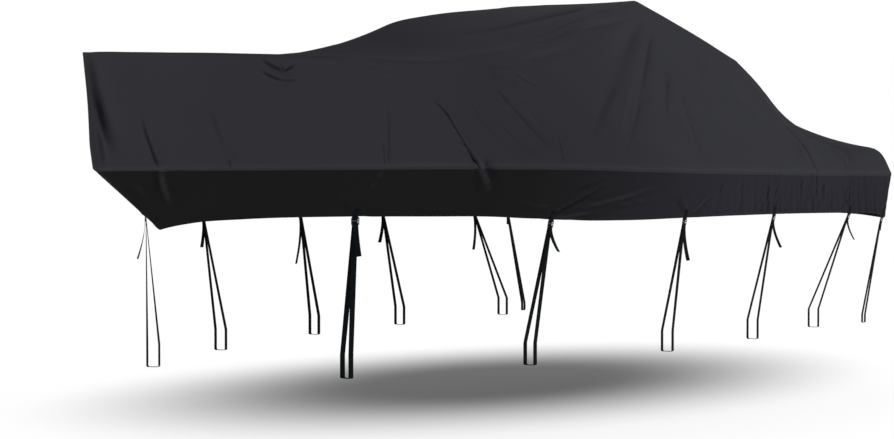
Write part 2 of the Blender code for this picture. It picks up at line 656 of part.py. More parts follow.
def add_strap(strap, seat, collection, surface_material):
    """The strap: sewn end, inner run, round the beam, outer run, through the slider, tail."""
    beam_along, beam_out = beam_axes(strap)
    top = beam_top(strap, seat.hem)
    beside = strap.beam_width / 2 + WEB / 2
    under = Vector((0, 0, -strap.beam_height - WEB / 2))
    bend = min(BEAM_BEND, strap.beam_width / 3)
    lift = Vector((0, 0, bend))
    soft = bend * (1 - math.sqrt(0.5))
    path = [
        (sewn(seat, -SEWN_OFF, SEWN_END), seat.along),
        (mitre(seat, -SEWN_OFF), seat.along),
        (hanging(seat, -SEWN_OFF, SLIDER_END + CLEAR_OF_SLIDER), seat.along),
        (top - beam_out * beside, beam_along),
        (top - beam_out * beside + under + lift, beam_along),
        (top - beam_out * (beside - soft) + under + lift * soft / bend, beam_along),
        (top - beam_out * (beside - bend) + under, beam_along),
        (top + beam_out * (beside - bend) + under, beam_along),
        (top + beam_out * (beside - soft) + under + lift * soft / bend, beam_along),
        (top + beam_out * beside + under + lift, beam_along),
        (top + beam_out * beside, beam_along),
        (hanging(seat, -RUN_OFF, SLIDER_END + CLEAR_OF_SLIDER), seat.along),
    ]
    over = BOTTOM_BAR_START - GAP - WEB / 2
    corner = GAP + WEB / 2
    path += [
        (hanging(seat, -RUN_OFF, over + corner), seat.along),
        (hanging(seat, corner - RUN_OFF, over), seat.along),
        (hanging(seat, RUN_OFF - corner, over), seat.along),
        (hanging(seat, RUN_OFF, over + corner), seat.along),
    ]
    start = SLIDER_END + TAIL_GAP
    for i in range(TAIL_STEPS + 1):
        f = i / TAIL_STEPS
        point = hanging(seat, RUN_OFF + strap.reach * f ** 1.5, start + strap.tail * f)
        turned = Quaternion(seat.down, math.radians(strap.twist) * f) @ seat.along
        path.append((point, turned))
    add_webbing("strap_" + strap.name, path, collection, surface_material)


def main():
    for made in list(bpy.data.objects):
        bpy.data.objects.remove(made, do_unlink=True)
    collection = bpy.data.collections.new("boat_cover")
    bpy.context.scene.collection.children.link(collection)
    deck_cloth = material("deck cloth", (0.033, 0.033, 0.037), 0.85)
    skirt_cloth = material("skirt cloth", (0.022, 0.022, 0.025), 0.85)
    webbing = material("webbing", (0.008, 0.009, 0.012), 0.75)
    plastic = material("slider plastic", (0.010, 0.010, 0.011), 0.40)

    surface = cover_surface()
    seats = [(strap, seat_of(strap, surface)) for strap in STRAPS]
    add_panel("side_skirt", surface, 0, collection, skirt_cloth)
    add_panel("deck_panel", surface, 1, collection, deck_cloth)
    surface.free()
    for strap, seat in seats:
        add_tab(strap, seat, collection, webbing)
        add_slider(strap, seat, collection, plastic)
        add_strap(strap, seat, collection, webbing)


main()
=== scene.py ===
"""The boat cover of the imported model, dressed for its looks.

The deck panel and the side skirt are drawn again on the same four lines as the CAD, with a finer grid,
the CAD's folds and finer creases, a lapped and stitched seam, a stitched hem and a woven cloth.  The
straps, tabs and sliders are drawn again with rounded bends, a ribbed face and their stitching.  Places
in the tables are "aft", metres behind the tip of the rub rail, "side", metres to port of the
centreline, and "height", metres over the ground.  All lengths are in metres.
"""

import math
from collections import namedtuple

import bmesh
import bpy
import numpy as np
from mathutils import Matrix, Quaternion, Vector


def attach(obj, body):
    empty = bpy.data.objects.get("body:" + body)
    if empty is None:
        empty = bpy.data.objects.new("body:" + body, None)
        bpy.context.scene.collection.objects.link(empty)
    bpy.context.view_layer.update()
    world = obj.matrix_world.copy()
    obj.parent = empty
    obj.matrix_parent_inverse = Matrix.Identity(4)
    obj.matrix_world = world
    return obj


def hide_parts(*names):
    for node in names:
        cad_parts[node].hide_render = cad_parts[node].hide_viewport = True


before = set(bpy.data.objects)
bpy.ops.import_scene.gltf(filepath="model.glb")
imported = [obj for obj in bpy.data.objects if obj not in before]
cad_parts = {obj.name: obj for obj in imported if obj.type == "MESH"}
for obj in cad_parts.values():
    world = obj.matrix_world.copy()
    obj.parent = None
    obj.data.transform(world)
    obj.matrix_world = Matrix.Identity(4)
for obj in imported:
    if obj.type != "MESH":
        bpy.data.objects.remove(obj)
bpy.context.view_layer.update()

# ---- frame and cloth
CONSOLE_AFT = 3.43          # the part's origin lies here, on the cover's underside over the console
CONSOLE_TOP = 1.918         # height of the crown there
CLOTH = 0.002               # thickness of the CAD's cloth
ORIGIN_HEIGHT = CONSOLE_TOP - CLOTH / 2
GAP = 0.0003                # between the CAD's pieces
SEAM_DROP = 0.012           # from the rub rail's crease to the CAD's seam
SHOULDER_ROUND = 0.07       # reach of the rounding at the shoulder, as a share of the flank
GUNWALE_ROUND = 0.09        # and at the gunwale

# ---- the four lines of the loft
# One row for each station, from the stem along the port side and round the stern to the middle of
# the transom: the places (aft, side, height) of the hem, the rub rail, the shoulder and the crown.
STATIONS = [
    ((0.385, 0, 0.919), (0.025, 0, 1.149), (-0.07, 0, 1.567), (-0.07, 0, 1.567)),
    ((0.396, 0.018, 0.925), (0.045, 0.038, 1.15), (-0.043, 0.022, 1.57), (0.02, 0, 1.57)),
    ((0.47, 0.092, 0.944), (0.162, 0.134, 1.151), (0.1, 0.13, 1.572), (0.2, 0, 1.575)),
    ((0.6, 0.222, 0.956), (0.4, 0.318, 1.154), (0.38, 0.3, 1.573), (0.48, 0, 1.583)),
    ((0.885, 0.462, 0.964), (0.78, 0.59, 1.157), (0.77, 0.56, 1.572), (0.85, 0, 1.594)),
    ((1.24, 0.68, 0.96), (1.2, 0.79, 1.16), (1.19, 0.745, 1.567), (1.27, 0, 1.604)),
    ((1.52, 0.784, 0.955), (1.5, 0.87, 1.159), (1.5, 0.705, 1.603), (1.52, 0, 1.647)),
    ((1.76, 0.855, 0.942), (1.75, 0.93, 1.157), (1.75, 0.67, 1.627), (1.76, 0, 1.69)),
    ((2, 0.91, 0.931), (2, 0.98, 1.154), (2, 0.635, 1.645), (2.02, 0, 1.766)),
    ((2.3, 0.97, 0.925), (2.3, 1.03, 1.147), (2.3, 0.6, 1.672), (2.3, 0, 1.812)),
    ((2.9, 1.045, 0.927), (2.9, 1.09, 1.135), (2.9, 0.53, 1.812), (2.9, 0, 1.872)),
    ((3.43, 1.072, 0.926), (3.43, 1.105, 1.127), (3.45, 0.485, 1.926), (3.43, 0, 1.918)),
    ((3.9, 1.085, 0.923), (3.9, 1.112, 1.121), (3.88, 0.54, 1.812), (3.88, 0, 1.788)),
    ((4.3, 1.092, 0.918), (4.3, 1.116, 1.116), (4.29, 0.6, 1.683), (4.29, 0, 1.672)),
    ((4.65, 1.1, 0.911), (4.65, 1.12, 1.112), (4.6, 0.6, 1.558), (4.56, 0, 1.562)),
    ((4.93, 1.102, 0.9), (4.95, 1.124, 1.109), (4.87, 0.6, 1.384), (4.74, 0, 1.486)),
    ((5.085, 1.08, 0.878), (5.11, 1.108, 1.106), (5.01, 0.58, 1.372), (4.83, 0, 1.449)),
    ((5.14, 0.93, 0.892), (5.175, 0.945, 1.106), (5.05, 0.44, 1.364), (4.88, 0, 1.43)),
    ((5.15, 0.45, 0.9), (5.185, 0.45, 1.107), (5.065, 0.2, 1.361), (4.91, 0, 1.419)),
    ((5.15, 0, 0.9), (5.185, 0, 1.108), (5.065, 0, 1.36), (4.93, 0, 1.412)),
]
# Each line's name and the stations where it has a corner; elsewhere it runs smoothly through them.
CORNERS = {"hem": (0,), "rub": (), "shoulder": (0, 11, 13, 15), "crown": (0, 5, 11, 13)}

# How far the section stands outside the straight lines between its points, at each station: where
# the flank turns over the gunwale, halfway from there to the shoulder, and halfway on to the crown.
HOLLOWS = np.array([
    (0.004, -0.004, 0),
    (0.004, -0.004, 0),
    (0.004, -0.006, 0.002),
    (0.004, -0.008, 0.002),
    (0.004, -0.008, 0.002),
    (0.004, -0.006, -0.004),
    (0.004, -0.006, -0.022),
    (0.004, -0.006, -0.03),
    (0.004, -0.008, -0.034),
    (0.005, -0.008, -0.03),
    (0.006, -0.01, -0.012),
    (0.008, -0.01, -0.004),
    (0.01, -0.012, -0.012),
    (0.014, -0.034, -0.006),
    (0.036, -0.074, -0.012),
    (0.092, -0.032, -0.01),
    (0.086, -0.02, -0.006),
    (0.04, -0.006, -0.004),
    (0.016, 0, -0.002),
    (0.014, 0, 0),
])
GUNWALE_LEVEL = 0.18        # how far up the flank it turns over the gunwale

# The CAD's grid: its columns of faces between each station and the next, and its rows on the skirt.
COLUMNS = [1, 2, 4, 6, 8, 5, 5, 4, 4, 8, 6, 7, 6, 6, 5, 3, 3, 4, 3]
SKIRT_ROWS = 3

# ---- folds
# A fold is a trough with a low lip on either side, deepest near its start.  A row holds its start, its
# end, how far it bows sideways from the straight line between them, its width and its depth; a negative
# depth makes a ridge.  A place on a side is (aft, height), on the transom (side, height) and on the roof
# (aft, side).
Fold = namedtuple("Fold", "face start end bow width depth")


def folds(face, rows):
    """The folds of one face of the cover."""
    return [Fold(face, tuple(row[:2]), tuple(row[2:4]), *row[4:]) for row in rows]


FOLDS = folds("port", [
    # the creases of the bow
    (-0.06, 1.56, 0.05, 1.2, 0.01, 0.022, 0.012),
    (0.18, 1.15, 0.12, 1.35, 0.004, 0.024, 0.01),
    (0.19, 1.14, 0.34, 1.01, -0.004, 0.024, -0.008),
    (0.41, 1.17, 0.34, 1.36, 0.006, 0.022, 0.006),
    (0.57, 1.5, 0.48, 1.55, 0.004, 0.022, 0.007),
    (0.57, 1.5, 0.65, 1.55, -0.004, 0.022, 0.007),
    (0.93, 1.17, 0.96, 1.42, 0.006, 0.024, 0.006),
    # the deep crease over the rub rail where the bow rail ends, and its neighbours
    (1.34, 1.15, 1.15, 1.43, 0.02, 0.032, 0.019),
    (1.33, 1.17, 1.5, 1.05, -0.006, 0.03, 0.014),
    (1.6, 1.54, 2, 1.48, 0.01, 0.034, 0.009),
    (1.86, 1.21, 1.6, 1.51, 0.014, 0.036, 0.01),
    (1.7, 1.2, 1.52, 1.36, -0.008, 0.03, 0.006),
    # the fan of soft folds from the corner of the console
    (3.34, 1.87, 2.05, 1.62, -0.02, 0.04, 0.01),
    (3.34, 1.82, 2.1, 1.25, 0.004, 0.048, 0.015),
    (3.36, 1.77, 2.3, 1.2, -0.018, 0.038, 0.011),
    (3.26, 1.6, 2.86, 1.34, 0.006, 0.036, 0.008),
    (3.24, 1.5, 2.9, 1.16, 0.006, 0.04, 0.005),
    (3.6, 1.7, 3.62, 1.34, 0.012, 0.05, 0.004),
    (4.3, 1.6, 4.14, 1.3, -0.01, 0.044, 0.01),
    (4.25, 1.35, 4.1, 1.11, 0.006, 0.034, 0.01),
    (4.1, 1.13, 4.06, 1.33, 0.004, 0.032, 0.009),
    (4.58, 1.16, 4.76, 1.3, 0.006, 0.036, 0.008),
    # tension folds from the straps
    (0.95, 0.97, 1.2, 1.07, -0.006, 0.026, 0.006),
    (1.88, 0.95, 2.15, 1.08, 0.006, 0.028, 0.01),
    (1.91, 0.94, 2.5, 1.05, 0.01, 0.028, 0.008),
    (1.81, 0.95, 1.56, 1.02, -0.008, 0.028, 0.007),
    (2.78, 0.94, 2.6, 1.02, 0.006, 0.026, 0.007),
    (2.84, 0.94, 3, 1.06, 0.006, 0.026, 0.008),
    # the gathers that the elastic draws into the hem
    (3.05, 0.93, 3.04, 1.09, 0.004, 0.026, 0.008),
    (3.29, 0.93, 3.32, 1.08, 0, 0.03, 0.009),
    (3.54, 0.93, 3.52, 1.09, 0.004, 0.028, 0.01),
    (3.79, 0.92, 3.84, 1.08, -0.004, 0.026, 0.009),
    (3.99, 0.92, 3.97, 1.1, 0.002, 0.028, 0.011),
    (4.16, 0.92, 4.19, 1.08, 0, 0.024, 0.009),
    (4.34, 0.92, 4.31, 1.1, -0.004, 0.026, 0.01),
    (4.47, 0.91, 4.49, 1.06, 0.002, 0.024, 0.008),
    (4.7, 0.91, 4.67, 1.08, 0.004, 0.028, 0.009),
    (4.88, 0.9, 4.86, 1.07, 0, 0.028, 0.008),
]) + folds("starboard", [
    # the other side, less evenly hung
    (0.26, 1.12, 0.14, 1.4, 0.01, 0.026, 0.01),
    (0.62, 1.16, 0.5, 1.42, -0.008, 0.026, 0.008),
    (1.3, 1.16, 1.14, 1.4, 0.014, 0.032, 0.015),
    (1.29, 1.18, 1.42, 1.03, 0.006, 0.03, 0.01),
    (2.04, 1.2, 1.72, 1.5, 0.014, 0.036, 0.01),
    (3.32, 1.83, 2.3, 1.5, 0.02, 0.044, 0.011),
    (3.36, 1.79, 2.62, 1.32, -0.014, 0.046, 0.012),
    (3.42, 1.74, 3.1, 1.34, 0.012, 0.048, 0.011),
    (4.31, 1.58, 4.22, 1.28, 0.01, 0.044, 0.011),
    (4.4, 1.17, 4.52, 1.33, -0.006, 0.036, 0.009),
    (1.84, 0.95, 2.12, 1.06, 0.006, 0.028, 0.009),
    (2.8, 0.94, 2.56, 1.04, 0.006, 0.028, 0.008),
    (2.88, 0.94, 3.06, 1.06, 0.004, 0.028, 0.007),
    (3.2, 0.93, 3.22, 1.08, 0.004, 0.028, 0.009),
    (3.46, 0.93, 3.43, 1.1, 0, 0.028, 0.009),
    (3.84, 0.92, 3.88, 1.08, 0.004, 0.028, 0.011),
    (4.08, 0.92, 4.06, 1.09, 0, 0.026, 0.009),
    (4.3, 0.92, 4.33, 1.08, -0.004, 0.026, 0.01),
    (4.76, 0.91, 4.74, 1.08, 0.004, 0.028, 0.01),
]) + folds("transom", [
    # gathers across the transom
    (0.78, 0.9, 0.76, 1.09, 0.004, 0.03, 0.01),
    (0.5, 0.9, 0.53, 1.07, 0, 0.032, 0.009),
    (0.18, 0.9, 0.15, 1.1, 0.004, 0.034, 0.011),
    (-0.16, 0.9, -0.14, 1.06, 0, 0.032, 0.009),
    (-0.46, 0.9, -0.5, 1.09, -0.004, 0.032, 0.01),
    (-0.8, 0.9, -0.78, 1.08, 0.004, 0.03, 0.009),
]) + folds("roof", [
    # long soft troughs in the roof
    (1.26, 0.16, 0.3, 0.05, 0.02, 0.055, 0.01),
    (1.3, -0.22, 0.45, -0.12, -0.02, 0.055, 0.009),
    (3.3, 0.3, 2.1, 0.22, 0.03, 0.06, 0.012),
    (3.34, -0.2, 2.25, -0.34, 0.02, 0.06, 0.012),
    (3.52, 0.22, 4.16, 0.12, 0.02, 0.06, 0.01),
    (3.5, -0.3, 4.2, -0.36, -0.02, 0.06, 0.011),
    (4.34, 0.34, 4.8, 0.2, 0.01, 0.05, 0.009),
    (4.36, -0.26, 4.84, -0.36, 0.01, 0.05, 0.01),
])
FOLD_RISE = 0.12            # share of a fold's length over which it reaches its full depth
FOLD_FADE = 0.6             # power by which it then dies away

# The faces blend over these reaches: up the flank to the roof, round the stern and over the stem.
FLANK_FADE, FLANK_BLEND = 0.90, 0.25
ROOF_FADE, ROOF_BLEND = 0.95, 0.20
TRANSOM_AFT, TRANSOM_BLEND = 5.08, 0.06
KEEL_BLEND = 0.03

# The starboard corner of the console stands lower than the port one: by how much, where, and how far
# round it that reaches.
CORNER_DIP = 0.030
CORNER_AFT = 3.43
CORNER_SIDE = -0.50
CORNER_REACH = 0.34

# ---- where the straps meet the hem
# Each strap's place on the hem, how far inboard of the hem its trailer beam lies, how many degrees that
# beam turns from fore-and-aft, its section, and the free tail's length, reach outboard and twist.
Strap = namedtuple("Strap", "name side aft inboard turn beam_width beam_height tail reach twist")

STRAPS = [
    Strap("port_1", 1, 0.95, 0.040, 18, 0.050, 0.090, 0.118, 0.032, 26),
    Strap("port_2", 1, 1.85, 0.098, 9, 0.050, 0.090, 0.086, 0.066, -18),
    Strap("port_3", 1, 2.81, 0.084, 0, 0.050, 0.090, 0.148, 0.044, 12),
    Strap("port_4", 1, 3.67, 0.108, 0, 0.050, 0.090, 0.110, 0.064, 8),
    Strap("port_5", 1, 4.57, 0.190, 0, 0.050, 0.090, 0.080, 0.070, -10),
    Strap("port_6", 1, 5.01, 0.100, 0, 0.014, 0.040, 0.040, 0.004, 0),
    Strap("starboard_1", -1, 0.99, 0.040, 18, 0.050, 0.090, 0.150, 0.040, -20),
    Strap("starboard_2", -1, 1.82, 0.098, 9, 0.050, 0.090, 0.110, 0.026, 14),
    Strap("starboard_3", -1, 2.84, 0.084, 0, 0.050, 0.090, 0.210, 0.060, -8),
    Strap("starboard_4", -1, 3.64, 0.108, 0, 0.050, 0.090, 0.130, 0.046, 16),
    Strap("starboard_5", -1, 4.60, 0.190, 0, 0.050, 0.090, 0.180, 0.070, 6),
    Strap("starboard_6", -1, 5.00, 0.100, 0, 0.014, 0.040, 0.040, 0.004, 0),
]
BEAM_FOOT = 0.340           # height of the underside of every beam
WEB_WIDTH = 0.025
WEB = 0.0012                # thickness of the webbing
TAB_RISE = 0.036            # how far the sewn tab reaches up the skirt
SEWN_END = 0.022            # how far the strap's sewn end reaches up inside it

# The slider is a flat frame of three bars; these are places down from the hem.
SLIDER_WIDTH = 0.034
SLIDER = 0.0024             # its thickness
SLOT_WIDTH = 0.027
SLIDER_TOP = 0.0040
TOP_BAR_END = 0.0095
MIDDLE_BAR_START = 0.0150
MIDDLE_BAR_END = 0.0195
BOTTOM_BAR_START = 0.0270
SLIDER_END = 0.0330
CORNER_CUT = 0.003          # of the slider's outline
CLEAR_OF_SLIDER = 0.004     # the runs leave the slider's plane this far below it
TAIL_GAP = 0.001            # between the slider's end and the start of the tail
BEAM_BEND = 0.006           # radius at which the strap turns under a beam

TAB_OFF = SLIDER / 2 + GAP + WEB / 2  # legs of the tab, off the middle of the cloth
RUN_OFF = SLIDER / 2 + GAP + WEB / 2  # the strap where it passes the bottom bar
SEWN_OFF = TAB_OFF + WEB + GAP  # the sewn end, against the tab's inner leg

# ---- finer folds and finish
# Narrow creases, in rows like those of the folds, deepest in their first half.
CREASES = folds("port", [
    # down the stem and beside it
    (-0.07, 1.59, 0.052, 1.17, 0.002, 0.0215, 0.01),
    (-0.018, 1.39, 0.034, 1.165, 0, 0.006, -0.005),
    (0.026, 1.15, -0.01, 1.33, 0, 0.009, 0.0056),
    (0.186, 1.143, 0.116, 1.36, -0.007, 0.0056, 0.0062),
    (0.176, 1.15, 0.262, 1.05, 0.002, 0.0065, 0.0045),
    (0.186, 1.15, 0.35, 1.004, 0.003, 0.0085, -0.008),
    (0.15, 1.1, 0.255, 1.03, 0, 0.008, -0.0024),
    (0.1, 1.1, 0.275, 0.99, 0, 0.008, -0.0024),
    (0.34, 1.372, 0.385, 1.175, 0, 0.011, 0.0016),
    (0.398, 1.15, 0.388, 1.195, 0, 0.0055, 0.0028),
    # the small puckers under the bow rail
    (0.578, 1.51, 0.492, 1.566, -0.005, 0.0072, 0.0056),
    (0.577, 1.51, 0.561, 1.548, 0, 0.0042, 0.004),
    (0.576, 1.511, 0.616, 1.543, 0.003, 0.0055, 0.0058),
    (0.568, 1.477, 0.494, 1.52, -0.004, 0.0062, 0.006),
    (0.556, 1.481, 0.625, 1.481, 0.003, 0.0048, 0.0034),
    (0.57, 1.456, 0.59, 1.46, 0, 0.0045, 0.0018),
    (0.86, 1.54, 0.915, 1.526, 0.002, 0.007, 0.0007),
    (0.975, 1.512, 0.92, 1.516, 0.002, 0.0065, 0.001),
    # the pair that runs down amidships of the bow rail
    (0.926, 1.145, 0.944, 1.425, 0.002, 0.0056, 0.0028),
    (0.914, 1.15, 0.905, 1.272, 0, 0.005, 0.003),
    (0.916, 1.15, 0.926, 1.055, 0, 0.0065, -0.0044),
    # the long deep crease where the bow rail ends, and its tail on the skirt
    (1.372, 1.124, 1.19, 1.398, -0.003, 0.0074, 0.015),
    (1.24, 1.33, 1.132, 1.416, 0.004, 0.006, 0.0064),
    (1.308, 1.228, 1.23, 1.25, 0.003, 0.005, 0.0042),
    (1.392, 1.176, 1.38, 1.146, 0, 0.0065, 0.003),
    (1.34, 1.172, 1.468, 1.056, 0.002, 0.018, -0.012),
    (1.362, 1.106, 1.396, 1.046, 0, 0.008, 0.004),
    (1.432, 1.132, 1.486, 1.088, 0, 0.008, 0.004),
    (1.436, 1.069, 1.5, 1.08, -0.002, 0.0062, -0.0044),
    (1.3, 1.146, 1.34, 1.126, 0, 0.0065, -0.003),
    # the rail's end still shows through the cloth as a faint ridge
    (0.76, 1.566, 1.25, 1.566, 0, 0.007, -0.003),
    # between the rail and the fan
    (1.59, 1.558, 2.04, 1.553, 0.004, 0.0085, 0.001),
    (1.815, 1.542, 2.015, 1.478, 0.008, 0.0095, 0.0022),
    (1.59, 1.492, 1.818, 1.16, -0.021, 0.018, 0.003),
    (1.463, 1.35, 1.496, 1.24, 0, 0.01, 0.001),
    (1.366, 1.424, 1.512, 1.21, 0, 0.012, 0.0011),
    (1.53, 1.33, 1.65, 1.2, -0.006, 0.011, 0.0012),
    (1.72, 1.43, 1.86, 1.21, -0.01, 0.015, -0.0018),
    (1.832, 1.16, 1.908, 1.316, 0.003, 0.006, 0.0026),
    # the fan from the console's corner
    (3.34, 1.872, 2.04, 1.645, -0.012, 0.015, 0.0012),
    (2.7, 1.766, 3.39, 1.868, 0.002, 0.012, -0.0034),
    (1.95, 1.601, 2.66, 1.7, 0.004, 0.014, -0.0034),
    (3.37, 1.836, 2.8, 1.56, 0.002, 0.018, 0.0012),
    (2.78, 1.548, 2.05, 1.232, 0, 0.018, 0.0015),
    (3.38, 1.776, 2.74, 1.42, -0.006, 0.01, 0.0022),
    (2.85, 1.472, 2.27, 1.192, -0.006, 0.011, 0.002),
    (2.78, 1.492, 2.33, 1.25, 0.004, 0.012, -0.0026),
    (3.21, 1.554, 2.86, 1.34, 0.004, 0.0095, 0.0018),
    (3.2, 1.47, 2.89, 1.15, 0.004, 0.013, 0.001),
    # round the leaning post and the stern
    (4.056, 1.112, 4.012, 1.35, -0.004, 0.012, 0.0022),
    (4.098, 1.106, 4.246, 1.366, 0.008, 0.012, 0.0028),
    (4.078, 1.13, 4.15, 1.33, 0.004, 0.012, -0.0018),
    (4.49, 1.118, 4.56, 1.225, 0.003, 0.01, 0.0018),
    # pulls from the straps
    (1.8, 0.934, 2.165, 1.082, 0.004, 0.0085, 0.0092),
    (1.93, 1.05, 2.16, 1.116, 0.004, 0.009, 0.0044),
    (1.86, 0.944, 2.3, 0.992, 0.006, 0.0095, -0.0064),
    (2, 0.986, 2.56, 1.084, 0.008, 0.0105, -0.0074),
    (2.06, 0.966, 2.5, 1.01, 0.006, 0.0085, 0.0036),
    (2.26, 0.99, 2.6, 1.036, 0.004, 0.0085, -0.0034),
    (1.8, 1.115, 1.842, 1.05, 0.003, 0.0065, 0.0034),
    (1.7, 0.994, 1.846, 1, 0.003, 0.006, -0.0028),
    (1.82, 0.968, 1.56, 1.016, -0.008, 0.009, 0.003),
    (2.806, 0.944, 2.705, 1.064, 0.003, 0.009, -0.0066),
    (2.79, 0.944, 2.64, 1.03, 0.003, 0.009, 0.0046),
    (2.846, 0.944, 2.98, 1.038, 0.003, 0.01, -0.008),
    (2.99, 0.948, 2.914, 0.996, 0, 0.0075, 0.004),
    (0.93, 0.975, 0.76, 1.06, 0.004, 0.009, 0.002),
    # what the elastic draws in, where it shows most
    (3.054, 1.102, 3.086, 0.976, 0.002, 0.009, 0.0044),
    (3.262, 1.096, 3.326, 0.952, 0.003, 0.01, 0.0056),
    (3.222, 1.092, 3.244, 1.01, 0, 0.007, -0.0026),
    (3.592, 0.95, 3.552, 1.112, -0.002, 0.01, 0.007),
    (3.604, 1.1, 3.63, 0.96, -0.002, 0.009, -0.0044),
    (3.682, 0.944, 3.634, 1.122, -0.002, 0.0095, 0.0072),
    (3.926, 1.096, 3.962, 0.968, 0.002, 0.012, 0.007),
    (3.976, 1.09, 3.996, 0.99, 0, 0.01, -0.004),
    (4.052, 0.966, 4.022, 1.086, -0.002, 0.01, 0.0058),
    (4.07, 1.1, 4.088, 0.98, 0, 0.009, -0.0036),
    (4.102, 1.112, 4.136, 0.976, 0.002, 0.012, 0.007),
    (4.194, 1.074, 4.23, 0.952, 0.002, 0.012, 0.007),
    (4.526, 0.94, 4.446, 1.066, -0.003, 0.0105, 0.0056),
    (4.558, 0.934, 4.518, 1.112, 0, 0.0105, 0.0062),
    (4.76, 1.06, 4.79, 0.94, 0.002, 0.01, 0.0034),
]) + folds("starboard", [
    (-0.05, 1.55, 0.03, 1.24, 0.006, 0.014, 0.0035),
    (0.12, 1.42, 0.3, 1.06, 0.005, 0.014, 0.0034),
    (0.5, 1.43, 0.64, 1.12, -0.006, 0.014, 0.0021),
    (1.08, 1.46, 1.38, 1.05, -0.014, 0.014, 0.0049),
    (1.64, 1.52, 2.06, 1.18, 0.016, 0.014, 0.0025),
    (3.34, 1.83, 2.24, 1.48, 0.02, 0.018, 0.0024),
    (3.38, 1.79, 2.56, 1.28, -0.016, 0.018, 0.0028),
    (3.43, 1.74, 3.06, 1.3, 0.014, 0.018, 0.0025),
    (3.56, 1.64, 3.64, 1.24, 0.01, 0.018, 0.0017),
    (4.3, 1.6, 4.2, 1.24, 0.01, 0.016, 0.0024),
    (4.42, 1.46, 4.64, 1.18, 0.01, 0.016, 0.002),
    (1.85, 0.948, 2.14, 1.08, 0.006, 0.012, 0.0029),
    (2.8, 0.94, 2.54, 1.06, 0.006, 0.012, 0.0021),
    (2.88, 0.94, 3.08, 1.07, 0.004, 0.012, 0.0021),
    (3.6, 1.09, 3.62, 0.96, 0.002, 0.011, 0.0035),
    (3.96, 1.1, 3.93, 0.97, 0.002, 0.011, 0.0035),
    (4.18, 1.08, 4.21, 0.96, 0.002, 0.011, 0.0035),
    (4.54, 1.1, 4.52, 0.95, 0.002, 0.011, 0.0031),
]) + folds("roof", [
    (3.38, 0.28, 2.06, 0.18, 0.03, 0.02, 0.0025),
    (3.4, -0.18, 2.2, -0.36, 0.024, 0.02, 0.0025),
    (3.38, 0.44, 2.3, 0.46, 0.02, 0.018, 0.0018),
    (2.04, 0.56, 2.86, 0.545, 0.004, 0.014, 0.0024),
    (3.48, 0.24, 4.18, 0.1, 0.02, 0.02, 0.0015),
    (3.48, -0.34, 4.2, -0.42, -0.02, 0.02, 0.0024),
    (1.24, 0.2, 0.26, 0.05, 0.02, 0.02, 0.0018),
    (1.26, -0.26, 0.4, -0.13, -0.02, 0.02, 0.0018),
]) + folds("transom", [
    (0.64, 1.1, 0.7, 1.3, 0.006, 0.016, 0.002),
    (0.1, 1.11, -0.06, 1.32, 0.006, 0.016, 0.0018),
    (-0.56, 1.1, -0.62, 1.29, 0.006, 0.016, 0.002),
    (0.64, 1.09, 0.62, 0.94, 0.002, 0.011, 0.0035),
    (0.02, 1.09, 0.04, 0.94, 0.002, 0.011, 0.0035),
    (-0.32, 1.09, -0.3, 0.94, 0.002, 0.011, 0.0035),
])
CREASE_RISE = 0.20          # share of a crease's length over which it deepens
CREASE_FADE = 0.50          # share over which it dies away
LIP = 1.2                   # a fold's lips stand where this times the squared offset passes 1
CREASE_LIP, CREASE_EDGE = 1.1, 1.5  # the same of a crease, and the sharpness of its edge
GATHER = 0.0038             # depth of the puckers drawn in by the hem's elastic
GATHER_START, GATHER_FULL = 2.95, 3.60  # they begin and are full at these places aft,
GATHER_LOW, GATHER_HIGH = 0.03, 0.17  # and fade between these heights over the hem
SLACK = 0.0014              # height of the slow waves of the free cloth

DECK_LAP = 0.018            # the deck panel laps the skirt down to here, below the rub rail's crease
SKIRT_TOP = 0.008           # the skirt starts here, under the lap
LAP_PROUD = 0.0008          # how far the lap stands out
LAP_STEP = 0.0012           # the fall of its edge
UNDER_LAP = 0.0013          # how far the skirt lies in under it
HEM_WIDTH = 0.026
HEM_PROUD = 0.0009          # the doubled hem stands out so far
HEM_ROLL = 0.0014           # and its cord a little more
HEM_EDGE = 0.0012           # the fall of the hem's edge
SHOWN_CLOTH = 0.0011        # thickness of the skirt
SEAT_REACH = 0.16           # the cloth is flat round each tab; no change further off than this
SEAT_ALONG, SEAT_UP = (0.016, 0.060), (0.042, 0.110)  # it fades between these, along and up

# Rows of the grids: the deck's lap and the skirt's top below the rub rail's crease, the hem's above
# its edge; then the deck's levels over the rub rail, up the flank and over the roof.
LAP_ROWS = (DECK_LAP, DECK_LAP - LAP_STEP, 0.0125, 0.0070, 0.0040)
SKIRT_TOP_ROWS = (SKIRT_TOP, 0.013, DECK_LAP, 0.022, 0.028)
HEM_ROWS = (HEM_WIDTH + 0.003, HEM_WIDTH + 0.0005, HEM_WIDTH - 0.0015, 0.019, 0.0145, 0.0105, 0.0070,
            0.0040, 0.0015, 0.0)
RUB_LEVELS = [0.0, 0.012, 0.03]
FLANK_START, FLANK_REACH, FLANK_END = 0.05, 0.88, [0.955, 0.98]
SHOULDER_LEVELS = [1.0, 1.02, 1.045, 1.075]
ROOF_START, ROOF_REACH = 1.11, 0.89
FLANK_STEPS = 20
ROOF_STEPS = 18
SKIRT_STEPS = 12
SEAM_POINTS, HEM_POINTS, RAIL_POINTS = 2400, 4000, 1200  # taken along a seam, the hem, the rub rail
DECK_SPACING = 0.028        # length of the grids' faces along the cover
SKIRT_SPACING = 0.018
# The deck's faces are halved near its creases, pass by pass, within so many crease widths or at least
# so far, by creases up to so wide.
CREASE_SPLITS = ((1.6, 0.015, 0.030), (1.2, 0.0075, 0.020), (1.0, 0.0040, 0.0105))

